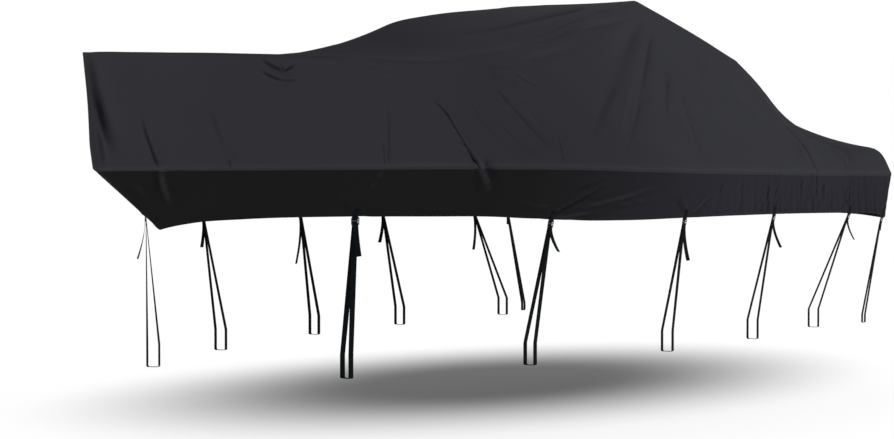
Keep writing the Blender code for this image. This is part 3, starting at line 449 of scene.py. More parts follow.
STITCH = 0.0055             # pitch of the seams' stitches
STITCH_SHAPE = (0.10, 0.28, 0.72, 0.90)  # its ends and shoulders, in shares of the pitch
THREAD = 0.00035            # radius of the sewing thread
SEAM_STITCHES = (0.0085, 0.0150)  # rows of stitches below the rub rail's crease
HEM_STITCHES = (0.0215,)    # and above the hem's edge
TAB_STITCH = 0.0028         # pitch of the stitches in the tabs
TAB_THREAD = 0.0003
TAB_MARGIN = 0.004          # from the webbing's edges to the box of stitches
TAB_BOX_LOW = 0.006         # where that box starts over the hem
WEB_EDGE, WEB_FLAT = 0.0005, 0.0016  # the webbing's edge is rounded within these
TAB_BEND, STRAP_BEND = 0.002, 0.004  # radii of the bends
BEND_SHARE = 0.4            # most of a run that a bend takes up
STRAIGHT = 0.03             # turns of less than this angle, in radians, aren't rounded
CORNER_STEPS = 4            # faces round a bend, and round a beam's corner
BEND_STEPS = 5
TAIL_POINTS = 14            # steps of a tail
RUN_STEP = 0.03             # longest face of a straight run
SLIDER_EDGE = 0.0004        # rounding of the slider's edges

# ---- looks
# tones of the cloth: darker, lighter, and worn and lit (for wear and painted highlights), at the bow and
# at the stern; the skirt's tones are the same cloth in painted shade, darker towards the bow
DECK_BOW = ((0.0214, 0.0214, 0.0260), (0.0243, 0.0243, 0.0294), (0.0380, 0.0380, 0.0430))
DECK_STERN = ((0.0322, 0.0327, 0.0388), (0.0373, 0.0379, 0.0446), (0.0520, 0.0520, 0.0590))
SKIRT_SHADED_BOW = ((0.0065, 0.0065, 0.0065), (0.0081, 0.0081, 0.0081), (0.0260, 0.0260, 0.0290))
SKIRT_SHADED_STERN = ((0.0204, 0.0192, 0.0258), (0.0238, 0.0227, 0.0298), (0.0400, 0.0380, 0.0460))
TONE_BOW, TONE_STERN = 1.4, 3.5  # the tones change over between these places aft
WEB_TONES = (0.0010, 0.0018, 0.0026), (0.0030, 0.0046, 0.0060)
TAB_TONES = (0.0008, 0.0016, 0.0034), (0.0024, 0.0040, 0.0072)
PLASTIC_TONE = (0.0060, 0.0064, 0.0072)
THREAD_TONE = (0.0095, 0.0095, 0.0110)

CREASE_SHADE_TONE = (0.0058, 0.0050, 0.0068)  # painted shade: tone of the deepest creases
CREASE_SHADE_SHARE = 0.85         # its share there
RIDGE_HIGHLIGHT_SHARE = 0.60          # share of the worn and lit tone painted as a highlight on the highest ridge
CREASE_TONE = 0.0080        # depth at which a crease's painted shade is darkest
FOLD_TONE = 0.1500          # and a main fold
GATHER_TONE = 1.5           # gathers get this much more painted shade than such creases
# strength of the lighter worn tone at the rub rail's crease, the shoulder and the hem's edge; at the
# crease and the shoulder it is also a painted highlight
RUB_WEAR_AND_HIGHLIGHT, SHOULDER_WEAR_AND_HIGHLIGHT, HEM_WEAR = 0.7, 0.20, 0.5

YARN = 0.0011               # pitch of the weave
RIB = 0.0031                # pitch of the webbing's ribs
PICK = 0.0016               # and of the picks across them
WEAVE_HEIGHT, SLUB_HEIGHT, RUMPLE_HEIGHT = 0.00010, 0.00006, 0.0008
RIB_HEIGHT, GRAIN_HEIGHT, TWIST_HEIGHT = 0.00035, 0.00008, 0.00006
TAB_PHASE, STRAP_PHASE = 0.013, 0.017  # the weave's shift from strap to strap

# The camera: its sensor, its focal length in pixels of a view so wide, its place ahead of the rub
# rail's tip, to port and over the ground, and its heading.
SENSOR = 36.0
VIEW_WIDTH = 894
FOCAL = 2500.0
EYE_AHEAD = 7.128
EYE_SIDE = 5.7
EYE_HEIGHT = 1.2
LOOK = (-0.8604, -0.5096, -0.0258)

# floor, surroundings and light
FLOOR_SIZE = 600.0
FLOOR_DARK, FLOOR_LIGHT = (0.86, 0.86, 0.86), (0.89, 0.89, 0.89)
FLOOR_NEAR, FLOOR_FAR = 4.0, 18.0  # the floor fades to white between these distances
FLOOR_WHITE = 0.65          # share of its own light near the cover
FLOOR_GLOW = 1.22           # strength of that light
SHADOW_PLACE = (-0.95, -0.85, 0.0)  # the floor's soft shadow: an ellipse's centre
SHADOW_SIZE = (2.80, 1.60, 1.0)  # and half axes
SHADOW_CORE, SHADOW_EDGE = 0.30, 1.20  # it pales between these shares of the half axes
SHADOW_TONE = 0.13          # share of the floor's own tone left in its middle
SHADOW_DARK = (0.10, 0.10, 0.10)
SKY_WHITE, SKY_HIGH = 0.10, 0.9  # the surroundings dim between these heights
SKY_TOP = (0.57, 0.57, 0.58)
KEY_PLACE, KEY_TARGET = (8.0, 7.0, 2.6), (0.6, 0.3, -0.8)
KEY_SIZE, KEY_WATTS = 3.0, 240.0


# ---- the loft, on whole arrays
FLIP = np.array((1.0, -1.0, 1.0))
LAST = len(STATIONS) - 1
UP = np.array((0.0, 0.0, 1.0))


def place(aft, side, height):
    """A point of the tables in the part's own frame."""
    return np.array((CONSOLE_AFT - aft, side, height - ORIGIN_HEIGHT))


def length_of(vectors):
    return np.maximum(np.linalg.norm(vectors, axis=-1, keepdims=True), 1e-9)


def unit(vectors):
    return vectors / length_of(vectors)


def prepared(line, corners):
    """A line as rows of points, its heading at each station, and its corner flags."""
    rows = [place(*row) for row in line]
    rows = np.array([rows[1] * FLIP, *rows, rows[-2] * FLIP])
    spans = np.diff(rows, axis=0)
    lengths = np.maximum(length_of(spans), 1e-6)
    heading = spans / lengths
    headings = (heading[:-1] * lengths[1:] + heading[1:] * lengths[:-1]) / (lengths[:-1] + lengths[1:])
    return rows, headings, np.isin(np.arange(len(line)), corners)[:, None]


LINES = {name: prepared(line, corners) for line, (name, corners) in zip(zip(*STATIONS), CORNERS.items())}


def line_points(name, s):
    """Points of a line at the stations s, with the same curve as the CAD's loft."""
    rows, headings, corners = LINES[name]
    k = np.minimum(s.astype(int), LAST - 1)
    f = (s - k)[:, None]
    start, end = rows[k + 1], rows[k + 2]
    span = end - start
    reach = length_of(span)
    leaving = np.where(corners[k], span, headings[k] * reach)
    arriving = np.where(corners[k + 1], span, headings[k + 1] * reach)
    return (start * (1 - f) ** 2 * (1 + 2 * f) + leaving * f * (1 - f) ** 2
            + end * f ** 2 * (3 - 2 * f) - arriving * f ** 2 * (1 - f))


def profile(s, t):
    """The section with sharp bends: t is -1 at the hem, 0 rub rail, 1 shoulder and 2 crown."""
    rub, hem = line_points("rub", s), line_points("hem", s)
    shoulder, crown = line_points("shoulder", s), line_points("crown", s)
    along = line_points("rub", np.minimum(s + 0.02, LAST)) - line_points("rub", np.maximum(s - 0.02, 0))
    along[s <= 0] = (0, 1, 0)
    along[s >= LAST] = (0, -1, 0)
    across = shoulder - rub
    edge, sag, roof = (np.interp(s, np.arange(LAST + 1), column) for column in HOLLOWS.T)
    rise = (t - GUNWALE_LEVEL) / (1 - GUNWALE_LEVEL)
    offset = np.where(rise <= 0, edge * t / GUNWALE_LEVEL, edge * (1 - rise) + sag * 4 * rise * (1 - rise))
    skirt = rub - (hem - rub) * t[:, None]
    flank = rub + across * t[:, None] + unit(np.cross(along, across)) * offset[:, None]
    top = shoulder + (crown - shoulder) * (t - 1)[:, None]
    top[:, 2] += roof * 4 * (t - 1) * (2 - t)
    return np.where(t[:, None] <= 0, skirt, np.where(t[:, None] <= 1, flank, top))


def section(s, t):
    """The section with the gunwale and the shoulder rounded by quadratic curves."""
    points = profile(s, t)
    for middle, reach in ((GUNWALE_LEVEL, GUNWALE_ROUND), (1.0, SHOULDER_ROUND)):
        bent = np.abs(t - middle) < reach
        if bent.any():
            at = s[bent]
            f = ((t[bent] - middle + reach) / (2 * reach))[:, None]
            level = np.ones_like(at)
            points[bent] = (profile(at, level * (middle - reach)) * (1 - f) ** 2
                            + profile(at, level * middle) * 2 * f * (1 - f)
                            + profile(at, level * (middle + reach)) * f ** 2)
    return points


def bare(s, t, side):
    """Bare surface points on either side; past the centreline they are mirrored."""
    s, t, side = s.copy(), t.copy(), side.copy()
    for beyond, value in ((s < 0, -s), (s > LAST, 2 * LAST - s)):
        s = np.where(beyond, value, s)
        side = np.where(beyond, -side, side)
    over = t > 2
    t, side = np.where(over, 4 - t, t), np.where(over, -side, side)
    points = section(s, t)
    points[:, 1] *= side
    return points


def bare_normals(s, t, side):
    """Unit vectors out of the bare surface."""
    step_s, step_t = 0.012, 0.008
    along = bare(s + step_s, t, side) - bare(s - step_s, t, side)
    rising = bare(s, t + step_t, side) - bare(s, t - step_t, side)
    normal = np.cross(along, rising) * side[:, None]
    flat = np.linalg.norm(normal, axis=1) < 1e-10
    normal[flat] = UP
    return unit(normal)


def smooth_step(x):
    x = np.clip(x, 0.0, 1.0)
    return x * x * (3 - 2 * x)


def fold_frame(fold, u, v):
    """How far along a fold each point lies, from 0 to 1, and how far off its middle."""
    du, dv = fold.end[0] - fold.start[0], fold.end[1] - fold.start[1]
    length = math.hypot(du, dv)
    f = ((u - fold.start[0]) * du + (v - fold.start[1]) * dv) / length ** 2
    off = ((u - fold.start[0]) * dv - (v - fold.start[1]) * du) / length
    return f, off - fold.bow * 4 * f * (1 - f)


def face_shares(points, level):
    """For each face of the cover: the coordinates its folds use, and its share at each point."""
    aft, side, height = CONSOLE_AFT - points[:, 0], points[:, 1], points[:, 2] + ORIGIN_HEIGHT
    flank = 1 - smooth_step((level - FLANK_FADE) / FLANK_BLEND)
    astern = smooth_step((aft - TRANSOM_AFT) / TRANSOM_BLEND)
    return {
        "port": (aft, height, flank * (1 - astern) * smooth_step(side / KEEL_BLEND)),
        "starboard": (aft, height, flank * (1 - astern) * smooth_step(-side / KEEL_BLEND)),
        "transom": (side, height, flank * astern),
        "roof": (aft, side, smooth_step((level - ROOF_FADE) / ROOF_BLEND)),
    }


def trough(fold, f, off):
    """Height of a main fold: a trough, negative, with low lips, deepest near its start."""
    q = (off / fold.width) ** 2
    return -fold.depth * smooth_step(f / FOLD_RISE) * (1 - f) ** FOLD_FADE * (1 - LIP * q) * np.exp(-q)


def crease(fold, f, off):
    """Height of a fine fold: a narrow trough, or a narrow ridge where its depth is negative."""
    q = np.abs(off) / fold.width
    strength = smooth_step(f / CREASE_RISE) * smooth_step((1 - f) / CREASE_FADE)
    return -fold.depth * strength * (1 - CREASE_LIP * q * q) * np.exp(-q ** CREASE_EDGE)


def lift_of(table, shape, points, level):
    """How far a table of folds lifts the points of the bare surface that lie at the given levels."""
    shares = face_shares(points, level)
    lift = np.zeros(len(points))
    for fold in table:
        u, v, share = shares[fold.face]
        f, off = fold_frame(fold, u, v)
        inside = (f > 0) & (f < 1) & (share > 0)
        lift[inside] += share[inside] * shape(fold, f[inside], off[inside])
    return lift


def corner_dip(points):
    """How far the low corner of the console lets a point down."""
    away = np.hypot(CONSOLE_AFT - points[:, 0] - CORNER_AFT, points[:, 1] - CORNER_SIDE)
    return CORNER_DIP * smooth_step(1 - away / CORNER_REACH)


# ---- the CAD's coarse surface again
# The straps' seats lie on it, so that tabs, sliders and straps stand where their solids do.
def coarse_skirt():
    """The lower rows of the CAD's own grid, both sides, as one open surface."""
    surface = bmesh.new()
    level_tag = surface.verts.layers.float.new("level")
    stations = [k + i / n for k, n in enumerate(COLUMNS) for i in range(n)] + [float(LAST)]
    for mirror in (1, -1):
        grid = []
        for s in stations:
            seam = -SEAM_DROP / drop_at(np.array([s]))[0]
            rows = [-1 + (1 + seam) * j / SKIRT_ROWS for j in range(SKIRT_ROWS + 1)] + [0.0]
            points = section(np.full(len(rows), s), np.array(rows)) * (1, mirror, 1)
            column = [surface.verts.new(point) for point in points]
            for point, level in zip(column, rows):
                point[level_tag] = level
            grid.append(column)
        for near, far in zip(grid, grid[1:]):
            for j in range(len(near) - 1):
                surface.faces.new([near[j], far[j], far[j + 1], near[j + 1]][::mirror])
    bmesh.ops.remove_doubles(surface, verts=surface.verts, dist=1e-5)
    surface.normal_update()
    points = np.array([point.co for point in surface.verts])
    lifts = lift_of(FOLDS, trough, points, np.array([point[level_tag] for point in surface.verts]))
    moved = [point.co + point.normal * float(lift) for point, lift in zip(surface.verts, lifts)]
    for point, place_now in zip(surface.verts, moved):
        point.co = place_now
    return surface


Seat = namedtuple("Seat", "hem along out up down")


def hem_faces(surface):
    """The faces of the bottom row, each with its two hem points and its two upper points."""
    for face in surface.faces:
        for edge in face.edges:
            low = list(edge.verts)
            high = [p for p in face.verts if p not in low]
            if edge.is_boundary and low[0].co.z < high[0].co.z:
                yield low, high


def seat_of(strap, surface):
    """The axes where a strap meets the hem."""
    def miss(row):
        middle = (row[0][0].co + row[0][1].co) / 2
        wrong_side = 10.0 * (middle.y * strap.side < 0)
        return abs(CONSOLE_AFT - middle.x - strap.aft) + wrong_side

    low, high = min(hem_faces(surface), key=miss)
    hem = (low[0].co + low[1].co) / 2
    along = (low[1].co - low[0].co).normalized()
    if along.x > 0:
        along.negate()
    up = (high[0].co + high[1].co) / 2 - hem
    up = (up - along * up.dot(along)).normalized()
    out = along.cross(up) * strap.side
    down = beam_top(strap, hem) - hem
    down = (down - along * down.dot(along)).normalized()
    return Seat(hem, along, out, up, down)


def beam_axes(strap):
    """Directions along a strap's trailer beam, aft, and out of it."""
    turn = math.radians(strap.turn)
    return (Vector((-math.cos(turn), math.sin(turn) * strap.side, 0)),
            Vector((math.sin(turn), math.cos(turn) * strap.side, 0)))


def beam_top(strap, hem):
    """Middle of the top of the beam, straight inboard of the strap's place on the hem."""
    return Vector((hem.x, hem.y - strap.side * strap.inboard,
                   BEAM_FOOT + strap.beam_height - ORIGIN_HEIGHT))


# ---- the fine cloth
def drop_at(s):
    """Depth of the skirt at the stations s."""
    return length_of(line_points("hem", s) - line_points("rub", s))[:, 0]


def fine_stations(spacing):
    """Stations along the cover about one spacing apart."""
    stations = []
    for k in range(LAST):
        ends = np.array([float(k), k + 1.0])
        reach = max(float(length_of(np.diff(line_points(name, ends), axis=0))[0, 0])
                    for name in ("rub", "shoulder"))
        count = math.ceil(reach / spacing)
        stations += [k + i / count for i in range(count)]
    return np.array(stations + [float(LAST)])


def parameter_grid(stations, columns):
    """Both sides as a grid whose points are (station, level, side)."""
    grid = bmesh.new()
    for side in (1, -1):
        lines = [[grid.verts.new((s, t, side)) for t in column] for s, column in zip(stations, columns)]
        for near, far in zip(lines, lines[1:]):
            for j in range(len(near) - 1):
                grid.faces.new([near[j], far[j], far[j + 1], near[j + 1]][::side])
    return grid


def parameters(grid):
    grid.verts.index_update()
    return np.array([point.co for point in grid.verts], dtype=float).T


def split_near_creases(grid, reach, least, widest):
    """Halve the faces near the creases that are narrow enough."""
    s, t, side = parameters(grid)
    points = bare(s, t, side)
    shares = face_shares(points, t)
    close = np.zeros(len(points), dtype=bool)
    for fold in (crease for crease in CREASES if crease.width < widest):
        u, v, share = shares[fold.face]
        f, off = fold_frame(fold, u, v)
        close |= (f > -0.05) & (f < 1.05) & (share > 0.05) & (np.abs(off) < max(reach * fold.width, least))
    edges = {edge for face in grid.faces if any(close[p.index] for p in face.verts) for edge in face.edges}
    bmesh.ops.subdivide_edges(grid, edges=list(edges), cuts=1, use_grid_fill=True)


def ramp(x, start, end):
    return smooth_step((x - start) / (end - start))


def gathers(points, rise):
    """Narrow upright puckers, uneven in depth and spacing, that the hem's elastic draws into the skirt."""
    aft, side = CONSOLE_AFT - points[:, 0], points[:, 1]
    run = aft + 0.33 * points[:, 2] + 0.31 * np.abs(side) * ramp(aft, 5.0, 5.1)
    phase = run * 47 + 2.6 * np.sin(run * 7.3 + side) + 0.9 * np.sin(run * 17.9)
    pucker = np.exp(-(np.sin(phase) / 0.34) ** 2) * (0.55 + 0.45 * np.sin(run * 11.7 + 1.3))
    ripple = 0.30 * np.sin(run * 97 + 1.7 * np.sin(run * 5.1))
    faded = 0.35 + 0.65 * (1 - ramp(rise, GATHER_LOW, GATHER_HIGH))
    return -GATHER * (pucker + ripple) * ramp(aft, GATHER_START, GATHER_FULL) * faded


def slow_waves(points):
    """The slight unevenness of cloth that hangs free between its supports."""
    x, y, z = points.T
    return SLACK * (np.sin(5.1 * x + 3.3 * y + 4.7 * z) + 0.7 * np.sin(9.7 * x - 7.9 * z + 1.1)
                    + 0.5 * np.sin(16.3 * x + 11.1 * y + 12.9 * z + 0.6)) / 2.2


def finished(s, t, side, relief):
    """Points of the finished cloth, relief being what seams and hems add to the folds."""
    points = bare(s, t, side)
    lift = lift_of(FOLDS, trough, points, t) + lift_of(CREASES, crease, points, t) + relief
    rise = (t + 1) * drop_at(np.clip(s, 0, LAST))
    lift += np.where(t < 0, gathers(points, rise) * ramp(-t, 0.0, 0.3), 0)
    lift += slow_waves(points) * ramp(np.abs(t), 0.06, 0.3)
    points = points + bare_normals(s, t, side) * lift[:, None]
    points[:, 2] -= corner_dip(points)
    return points


def hem_miss(strap, seat):
    """How far the fine hem stands over the seat of a strap."""
    s = np.linspace(0.0, LAST, HEM_POINTS)
    t, side = np.full_like(s, -1.0), np.full_like(s, float(strap.side))
    away = finished(s, t, side, skirt_relief(s, t)) - np.array(seat.hem)
    nearest = np.argmin(np.linalg.norm(away, axis=1))
    return float(away[nearest] @ np.array(seat.up))


def fit_to_seats(points, seats):
    """Bring the cloth flat between the legs of each tab, and its edge to the tab's hem line."""
    for seat, edge in seats:
        hem, along, out, up = (np.array(v) for v in (seat.hem, seat.along, seat.out, seat.up))
        away = points - hem
        near = np.linalg.norm(away, axis=1) < SEAT_REACH
        a, rise, off = np.abs(away[near] @ along), away[near] @ up, away[near] @ out
        share = (1 - ramp(a, *SEAT_ALONG)) * (1 - ramp(rise, *SEAT_UP))
        points[near] -= share[:, None] * (off[:, None] * out + edge * up)
    return points


def deck_relief(s, t):
    """The lap of the deck panel over the skirt, and the soft roll along the rub rail."""
    below = -t * drop_at(s)
    return LAP_PROUD * ramp(below, 0.004, 0.007) - LAP_PROUD * ramp(below, DECK_LAP - LAP_STEP, DECK_LAP)


def skirt_relief(s, t):
    """The skirt's top edge under the lap, the doubled hem and the cord that fills it."""
    drop = drop_at(s)
    below, rise = -t * drop, (t + 1) * drop
    under = -UNDER_LAP * (1 - ramp(below, DECK_LAP, DECK_LAP + 0.008))
    doubled = HEM_PROUD * (1 - ramp(rise, HEM_WIDTH - 0.0015, HEM_WIDTH + 0.0005))
    rolled = HEM_ROLL * np.exp(-((rise - 0.009) / 0.006) ** 2) - HEM_EDGE * (1 - ramp(rise, 0.0, 0.003))
    return under + doubled + rolled


def run_of(s):
    """Length along the rub rail at the stations s."""
    marks = np.linspace(0, LAST, RAIL_POINTS)
    steps = length_of(np.diff(line_points("rub", marks), axis=0))[:, 0]
    return np.interp(s, marks, np.concatenate([[0.0], np.cumsum(steps)]))


def cloth_map(s, t, side):
    """Where each point lies on the flat cloth, in metres, for the weave."""
    flank = length_of(line_points("shoulder", s) - line_points("rub", s))[:, 0]
    roof = length_of(line_points("crown", s) - line_points("shoulder", s))[:, 0]
    up = np.where(t < 0, t * drop_at(s), np.minimum(t, 1) * flank + np.maximum(t - 1, 0) * roof)
    return np.stack([run_of(s) * side, up], axis=1)


def wear_and_highlight_at(s, t):
    """Where the cloth rubs: the rub rail's crease, the shoulder and the hem's edge; at the crease and the
    shoulder this is also a painted highlight.
    """
    rise = (t + 1) * drop_at(s)
    return np.clip(np.exp(-(t * 36) ** 2) * RUB_WEAR_AND_HIGHLIGHT + np.exp(-((t - 1) * 16) ** 2) * SHOULDER_WEAR_AND_HIGHLIGHT
                   + np.exp(-(rise / 0.004) ** 2) * HEM_WEAR, 0, 1)


# This depth drives painted shade in the creases and gathers and a painted highlight on the ridges.
def hollow_at(s, t, side):
    """How deep in a fold each point lies: 1 in the deepest crease, 0 on open cloth, below 0 on a ridge."""
    points = bare(s, t, side)
    fine, main = lift_of(CREASES, crease, points, t), lift_of(FOLDS, trough, points, t)
    fine += np.where(t < 0, GATHER_TONE * gathers(points, (t + 1) * drop_at(np.clip(s, 0, LAST))), 0)
    return np.clip(-fine / CREASE_TONE - main / FOLD_TONE, -1, 1)


def cloth_object(name, grid, relief, seats, cloth_material):
    """Turn a parameter grid into the finished panel."""
    s, t, side = parameters(grid)
    points = fit_to_seats(finished(s, t, side, relief(s, t)), seats)
    flat, wear_and_highlight = cloth_map(s, t, side), wear_and_highlight_at(s, t)
    # the points carry the wear with its painted highlight, and the fold depth for painted shade and
    # highlight
    worn_and_lit, sunk = (grid.verts.layers.float.new(layer) for layer in ("wear_and_highlight", "painted_fold_shading"))
    for point, now, rubbed, depth in zip(grid.verts, points, wear_and_highlight, hollow_at(s, t, side)):
        point.co = now
        point[worn_and_lit] = rubbed
        point[sunk] = depth
    layer = grid.loops.layers.uv.new("UVMap")
    for face in grid.faces:
        face.smooth = True
        for loop in face.loops:
            loop[layer].uv = flat[loop.vert.index]
    bmesh.ops.remove_doubles(grid, verts=grid.verts, dist=2e-5)
    area = sum(face.calc_area() for face in grid.faces)
    return object_of(name, grid, cloth_material), area


def thicken(panel):
    """Give a sheet of cloth its thickness, half to each side."""
    shell = panel.modifiers.new("thickness", "SOLIDIFY")
    shell.thickness = SHOWN_CLOTH
    shell.offset = 0


# ---- materials
def shader_of(name):
    """A new material, its node tree and its shader."""
    made = bpy.data.materials.new(name)
    made.use_nodes = True
    tree = made.node_tree
    return made, tree, tree.nodes["Principled BSDF"]


def feed(tree, made, inputs):
    """Give a node's inputs their values or links."""
    for key, value in inputs.items():
        if isinstance(value, bpy.types.NodeSocket):
            tree.links.new(value, made.inputs[key])
        else:
            made.inputs[key].default_value = value


def node(tree, kind, inputs=None, **settings):
    """A new node, with settings and with values or links for its inputs."""
    made = tree.nodes.new("ShaderNode" + kind)
    for key, value in settings.items():
        setattr(made, key, value)
    feed(tree, made, inputs or {})
    return made


def maths(tree, operation, *values):
    """The output of a maths node on values or sockets."""
    return node(tree, "Math", dict(enumerate(values)), operation=operation).outputs[0]


def noise(tree, vector, scale, detail=3.0, roughness=0.5):
    return node(tree, "TexNoise", {"Vector": vector, "Scale": scale, "Detail": detail,
                                   "Roughness": roughness}).outputs["Fac"]


def own_place(tree):
    """The place in the part's own frame, in metres."""
    return node(tree, "TexCoord").outputs["Object"]


def flat_place(tree):
    """The place on the flat cloth or webbing, in metres, whole and as its two coordinates."""
    flat = node(tree, "UVMap", uv_map="UVMap").outputs["UV"]
    split = node(tree, "SeparateXYZ", {"Vector": flat})
    return flat, split.outputs["X"], split.outputs["Y"]


def attribute(tree, name):
    """A number stored at the cloth's points."""
    return node(tree, "Attribute", attribute_name=name, attribute_type="GEOMETRY").outputs["Fac"]


def wave(tree, value, pitch):
    return maths(tree, "SINE", maths(tree, "MULTIPLY", value, 2 * math.pi / pitch))


def tone(tree, factor, dark, light, low=0.0, high=1.0):
    """A colour between dark and light, as factor goes from low to high."""
    made = node(tree, "ValToRGB", {"Fac": factor})
    for stop, position, colour in zip(made.color_ramp.elements, (low, high), (dark, light)):
        stop.position, stop.color = position, (*colour, 1)
    return made.outputs["Color"]


def blended(tree, factor, first, second):
    """A colour that goes from the first to the second as factor goes from 0 to 1."""
    first, second = (value if isinstance(value, bpy.types.NodeSocket) else (*value, 1)
                     for value in (first, second))
    return node(tree, "Mix", {"Factor": factor, 6: first, 7: second}, data_type="RGBA").outputs[2]


def eased(tree, value, start, end, first=0.0, last=1.0):
    """A number that goes smoothly from first to last as value goes from start to end."""
    return node(tree, "MapRange", {"Value": value, "From Min": start, "From Max": end,
                                   "To Min": first, "To Max": last},
                interpolation_type="SMOOTHSTEP").outputs[0]


def dress(tree, shader, height, strength, inputs):
    """Give a shader its bumps, from a height in metres, and its other inputs."""
    bump = node(tree, "Bump", {"Strength": strength, "Distance": 1.0, "Height": height})
    feed(tree, shader, {**inputs, "Normal": bump.outputs["Normal"]})


def cloth_material(name, bow, stern):
    """Coated woven polyester: a fine plain weave, slow unevenness of tone, painted shade in the creases,
    painted highlights on the ridges, and wear with a painted highlight along the rub rail's crease and the
    shoulder.
    """
    made, tree, shader = shader_of(name)
    place_on = own_place(tree)
    flat, warp, weft = flat_place(tree)
    weave = maths(tree, "MULTIPLY", wave(tree, warp, YARN), wave(tree, weft, YARN))
    weave = maths(tree, "MULTIPLY_ADD", weave, 0.5, 0.5)
    slow = noise(tree, place_on, 1.6, 4.0, 0.55)
    cloudy = noise(tree, place_on, 9.0, 4.0, 0.6)
    slub = node(tree, "Mapping", {"Vector": flat, "Scale": (9.0, 420.0, 1.0)}).outputs[0]
    slub = noise(tree, slub, 1.0, 2.0)
    astern = node(tree, "SeparateXYZ", {"Vector": place_on}).outputs["X"]
    astern = eased(tree, astern, CONSOLE_AFT - TONE_BOW, CONSOLE_AFT - TONE_STERN)
    dark, light, worn_and_lit = (blended(tree, astern, a, b) for a, b in zip(bow, stern))
    rubbed = maths(tree, "MULTIPLY_ADD", cloudy, 0.7, 0.05)
    painted_fold_shading = attribute(tree, "painted_fold_shading")
    colour = dark
    for factor, other in (
            (maths(tree, "MULTIPLY_ADD", slow, 2.4, -0.7), light),
            (maths(tree, "MULTIPLY", cloudy, 0.22), light),
            (maths(tree, "MULTIPLY", weave, 0.10), worn_and_lit),
            # wear, and a painted highlight along the rub rail's crease and the shoulder
            (maths(tree, "MULTIPLY", attribute(tree, "wear_and_highlight"), rubbed), worn_and_lit),
            # painted shade in the creases and gathers, and a painted highlight on the ridges
            (maths(tree, "MULTIPLY", painted_fold_shading, CREASE_SHADE_SHARE), CREASE_SHADE_TONE),
            (maths(tree, "MULTIPLY", painted_fold_shading, -RIDGE_HIGHLIGHT_SHARE), worn_and_lit)):
        colour = blended(tree, factor, colour, other)
    height = maths(tree, "ADD", maths(tree, "MULTIPLY", weave, WEAVE_HEIGHT),
                   maths(tree, "MULTIPLY", slub, SLUB_HEIGHT))
    rumple = maths(tree, "MULTIPLY", noise(tree, place_on, 38.0, 4.0, 0.6), RUMPLE_HEIGHT)
    dress(tree, shader, maths(tree, "ADD", height, rumple), 0.5,
          {"Base Color": colour, "Roughness": maths(tree, "MULTIPLY_ADD", cloudy, 0.14, 0.72),
           "Sheen Weight": 0.008, "Sheen Roughness": 0.5, "Specular IOR Level": 0.004})
    return made


def webbing_material(name, dark, light):
    """Narrow ribbed webbing: ribs along it and a chevron across them."""
    made, tree, shader = shader_of(name)
    _, across, along = flat_place(tree)
    slant = maths(tree, "PINGPONG", across, RIB / 2)
    pick = wave(tree, maths(tree, "ADD", along, slant), PICK)
    weave = maths(tree, "MULTIPLY_ADD", maths(tree, "ADD", wave(tree, across, RIB), pick), 0.25, 0.5)
    dusty = noise(tree, own_place(tree), 24.0, 4.0)
    colour = blended(tree, weave, dark, light)
    colour = blended(tree, maths(tree, "MULTIPLY", dusty, 0.25), colour, light)
    dress(tree, shader, maths(tree, "MULTIPLY", weave, RIB_HEIGHT), 0.8,
          {"Base Color": colour, "Roughness": 0.66, "Sheen Weight": 0.005, "Specular IOR Level": 0.04})
    return made


def plastic_material(name, colour):
    """Moulded acetal with a faint spark-eroded grain."""
    made, tree, shader = shader_of(name)
    place_on = own_place(tree)
    rubbed = noise(tree, place_on, 60.0, 3.0)
    brighter = tuple(1.9 * c for c in colour)
    dress(tree, shader, maths(tree, "MULTIPLY", noise(tree, place_on, 900.0, 2.0), GRAIN_HEIGHT), 0.5,
          {"Base Color": tone(tree, rubbed, colour, brighter, 0.35, 0.75),
           "Roughness": maths(tree, "MULTIPLY_ADD", rubbed, 0.2, 0.28)})
    return made


def thread_material(name, colour):
    """Twisted bonded thread."""
    made, tree, shader = shader_of(name)
    place_on = own_place(tree)
    lighter = tuple(1.5 * c for c in colour)
    twist = node(tree, "TexWave", {"Vector": place_on, "Scale": 900.0, "Distortion": 1.5})
    dress(tree, shader, maths(tree, "MULTIPLY", twist.outputs["Fac"], TWIST_HEIGHT), 0.5,
          {"Base Color": tone(tree, noise(tree, place_on, 130.0, 2.0), colour, lighter, 0.3, 0.7),
           "Roughness": 0.6, "Sheen Weight": 0.01, "Specular IOR Level": 0.04})
    return made


# ---- pieces
def new_object(name, data, surface_material):
    made = bpy.data.objects.new(name, data)
    bpy.context.scene.collection.objects.link(made)
    data.materials.append(surface_material)
    return made


def object_of(name, body, surface_material):
    """A new object from a mesh that is being edited."""
    mesh = bpy.data.meshes.new(name)
    body.to_mesh(mesh)
    body.free()
    return new_object(name, mesh, surface_material)


def ring_mesh(name, rings, uvs, surface_material):
    """A closed tube of quads through rings of points, with flat ends."""
    body = bmesh.new()
    layer = body.loops.layers.uv.new("UVMap")
    made_rings = [[body.verts.new(point) for point in ring] for ring in rings]
    spots = {point: spot for ring, row in zip(made_rings, uvs) for point, spot in zip(ring, row)}
    for near, far in zip(made_rings, made_rings[1:]):
        for j in range(len(near)):
            i = (j + 1) % len(near)
            body.faces.new((near[j], near[i], far[i], far[j]))
    body.faces.new(made_rings[0][::-1])
    body.faces.new(made_rings[-1])
    for face in body.faces:
        face.smooth = True
        for loop in face.loops:
            loop[layer].uv = spots[loop.vert]
    bmesh.ops.recalc_face_normals(body, faces=body.faces)
    return object_of(name, body, surface_material)


def hanging(seat, off, down):
    """A point of the slider's frame: off the middle of the cloth, and down from the hem."""
    level_out = seat.down.cross(seat.along).normalized()
    if level_out.dot(seat.out) < 0:
        level_out.negate()
    return seat.hem + level_out * off + seat.down * down


def sewn(seat, off, rise):
    """A point beside the skirt: off the middle of the cloth, and up from the hem."""
    return seat.hem + seat.out * off + seat.up * rise


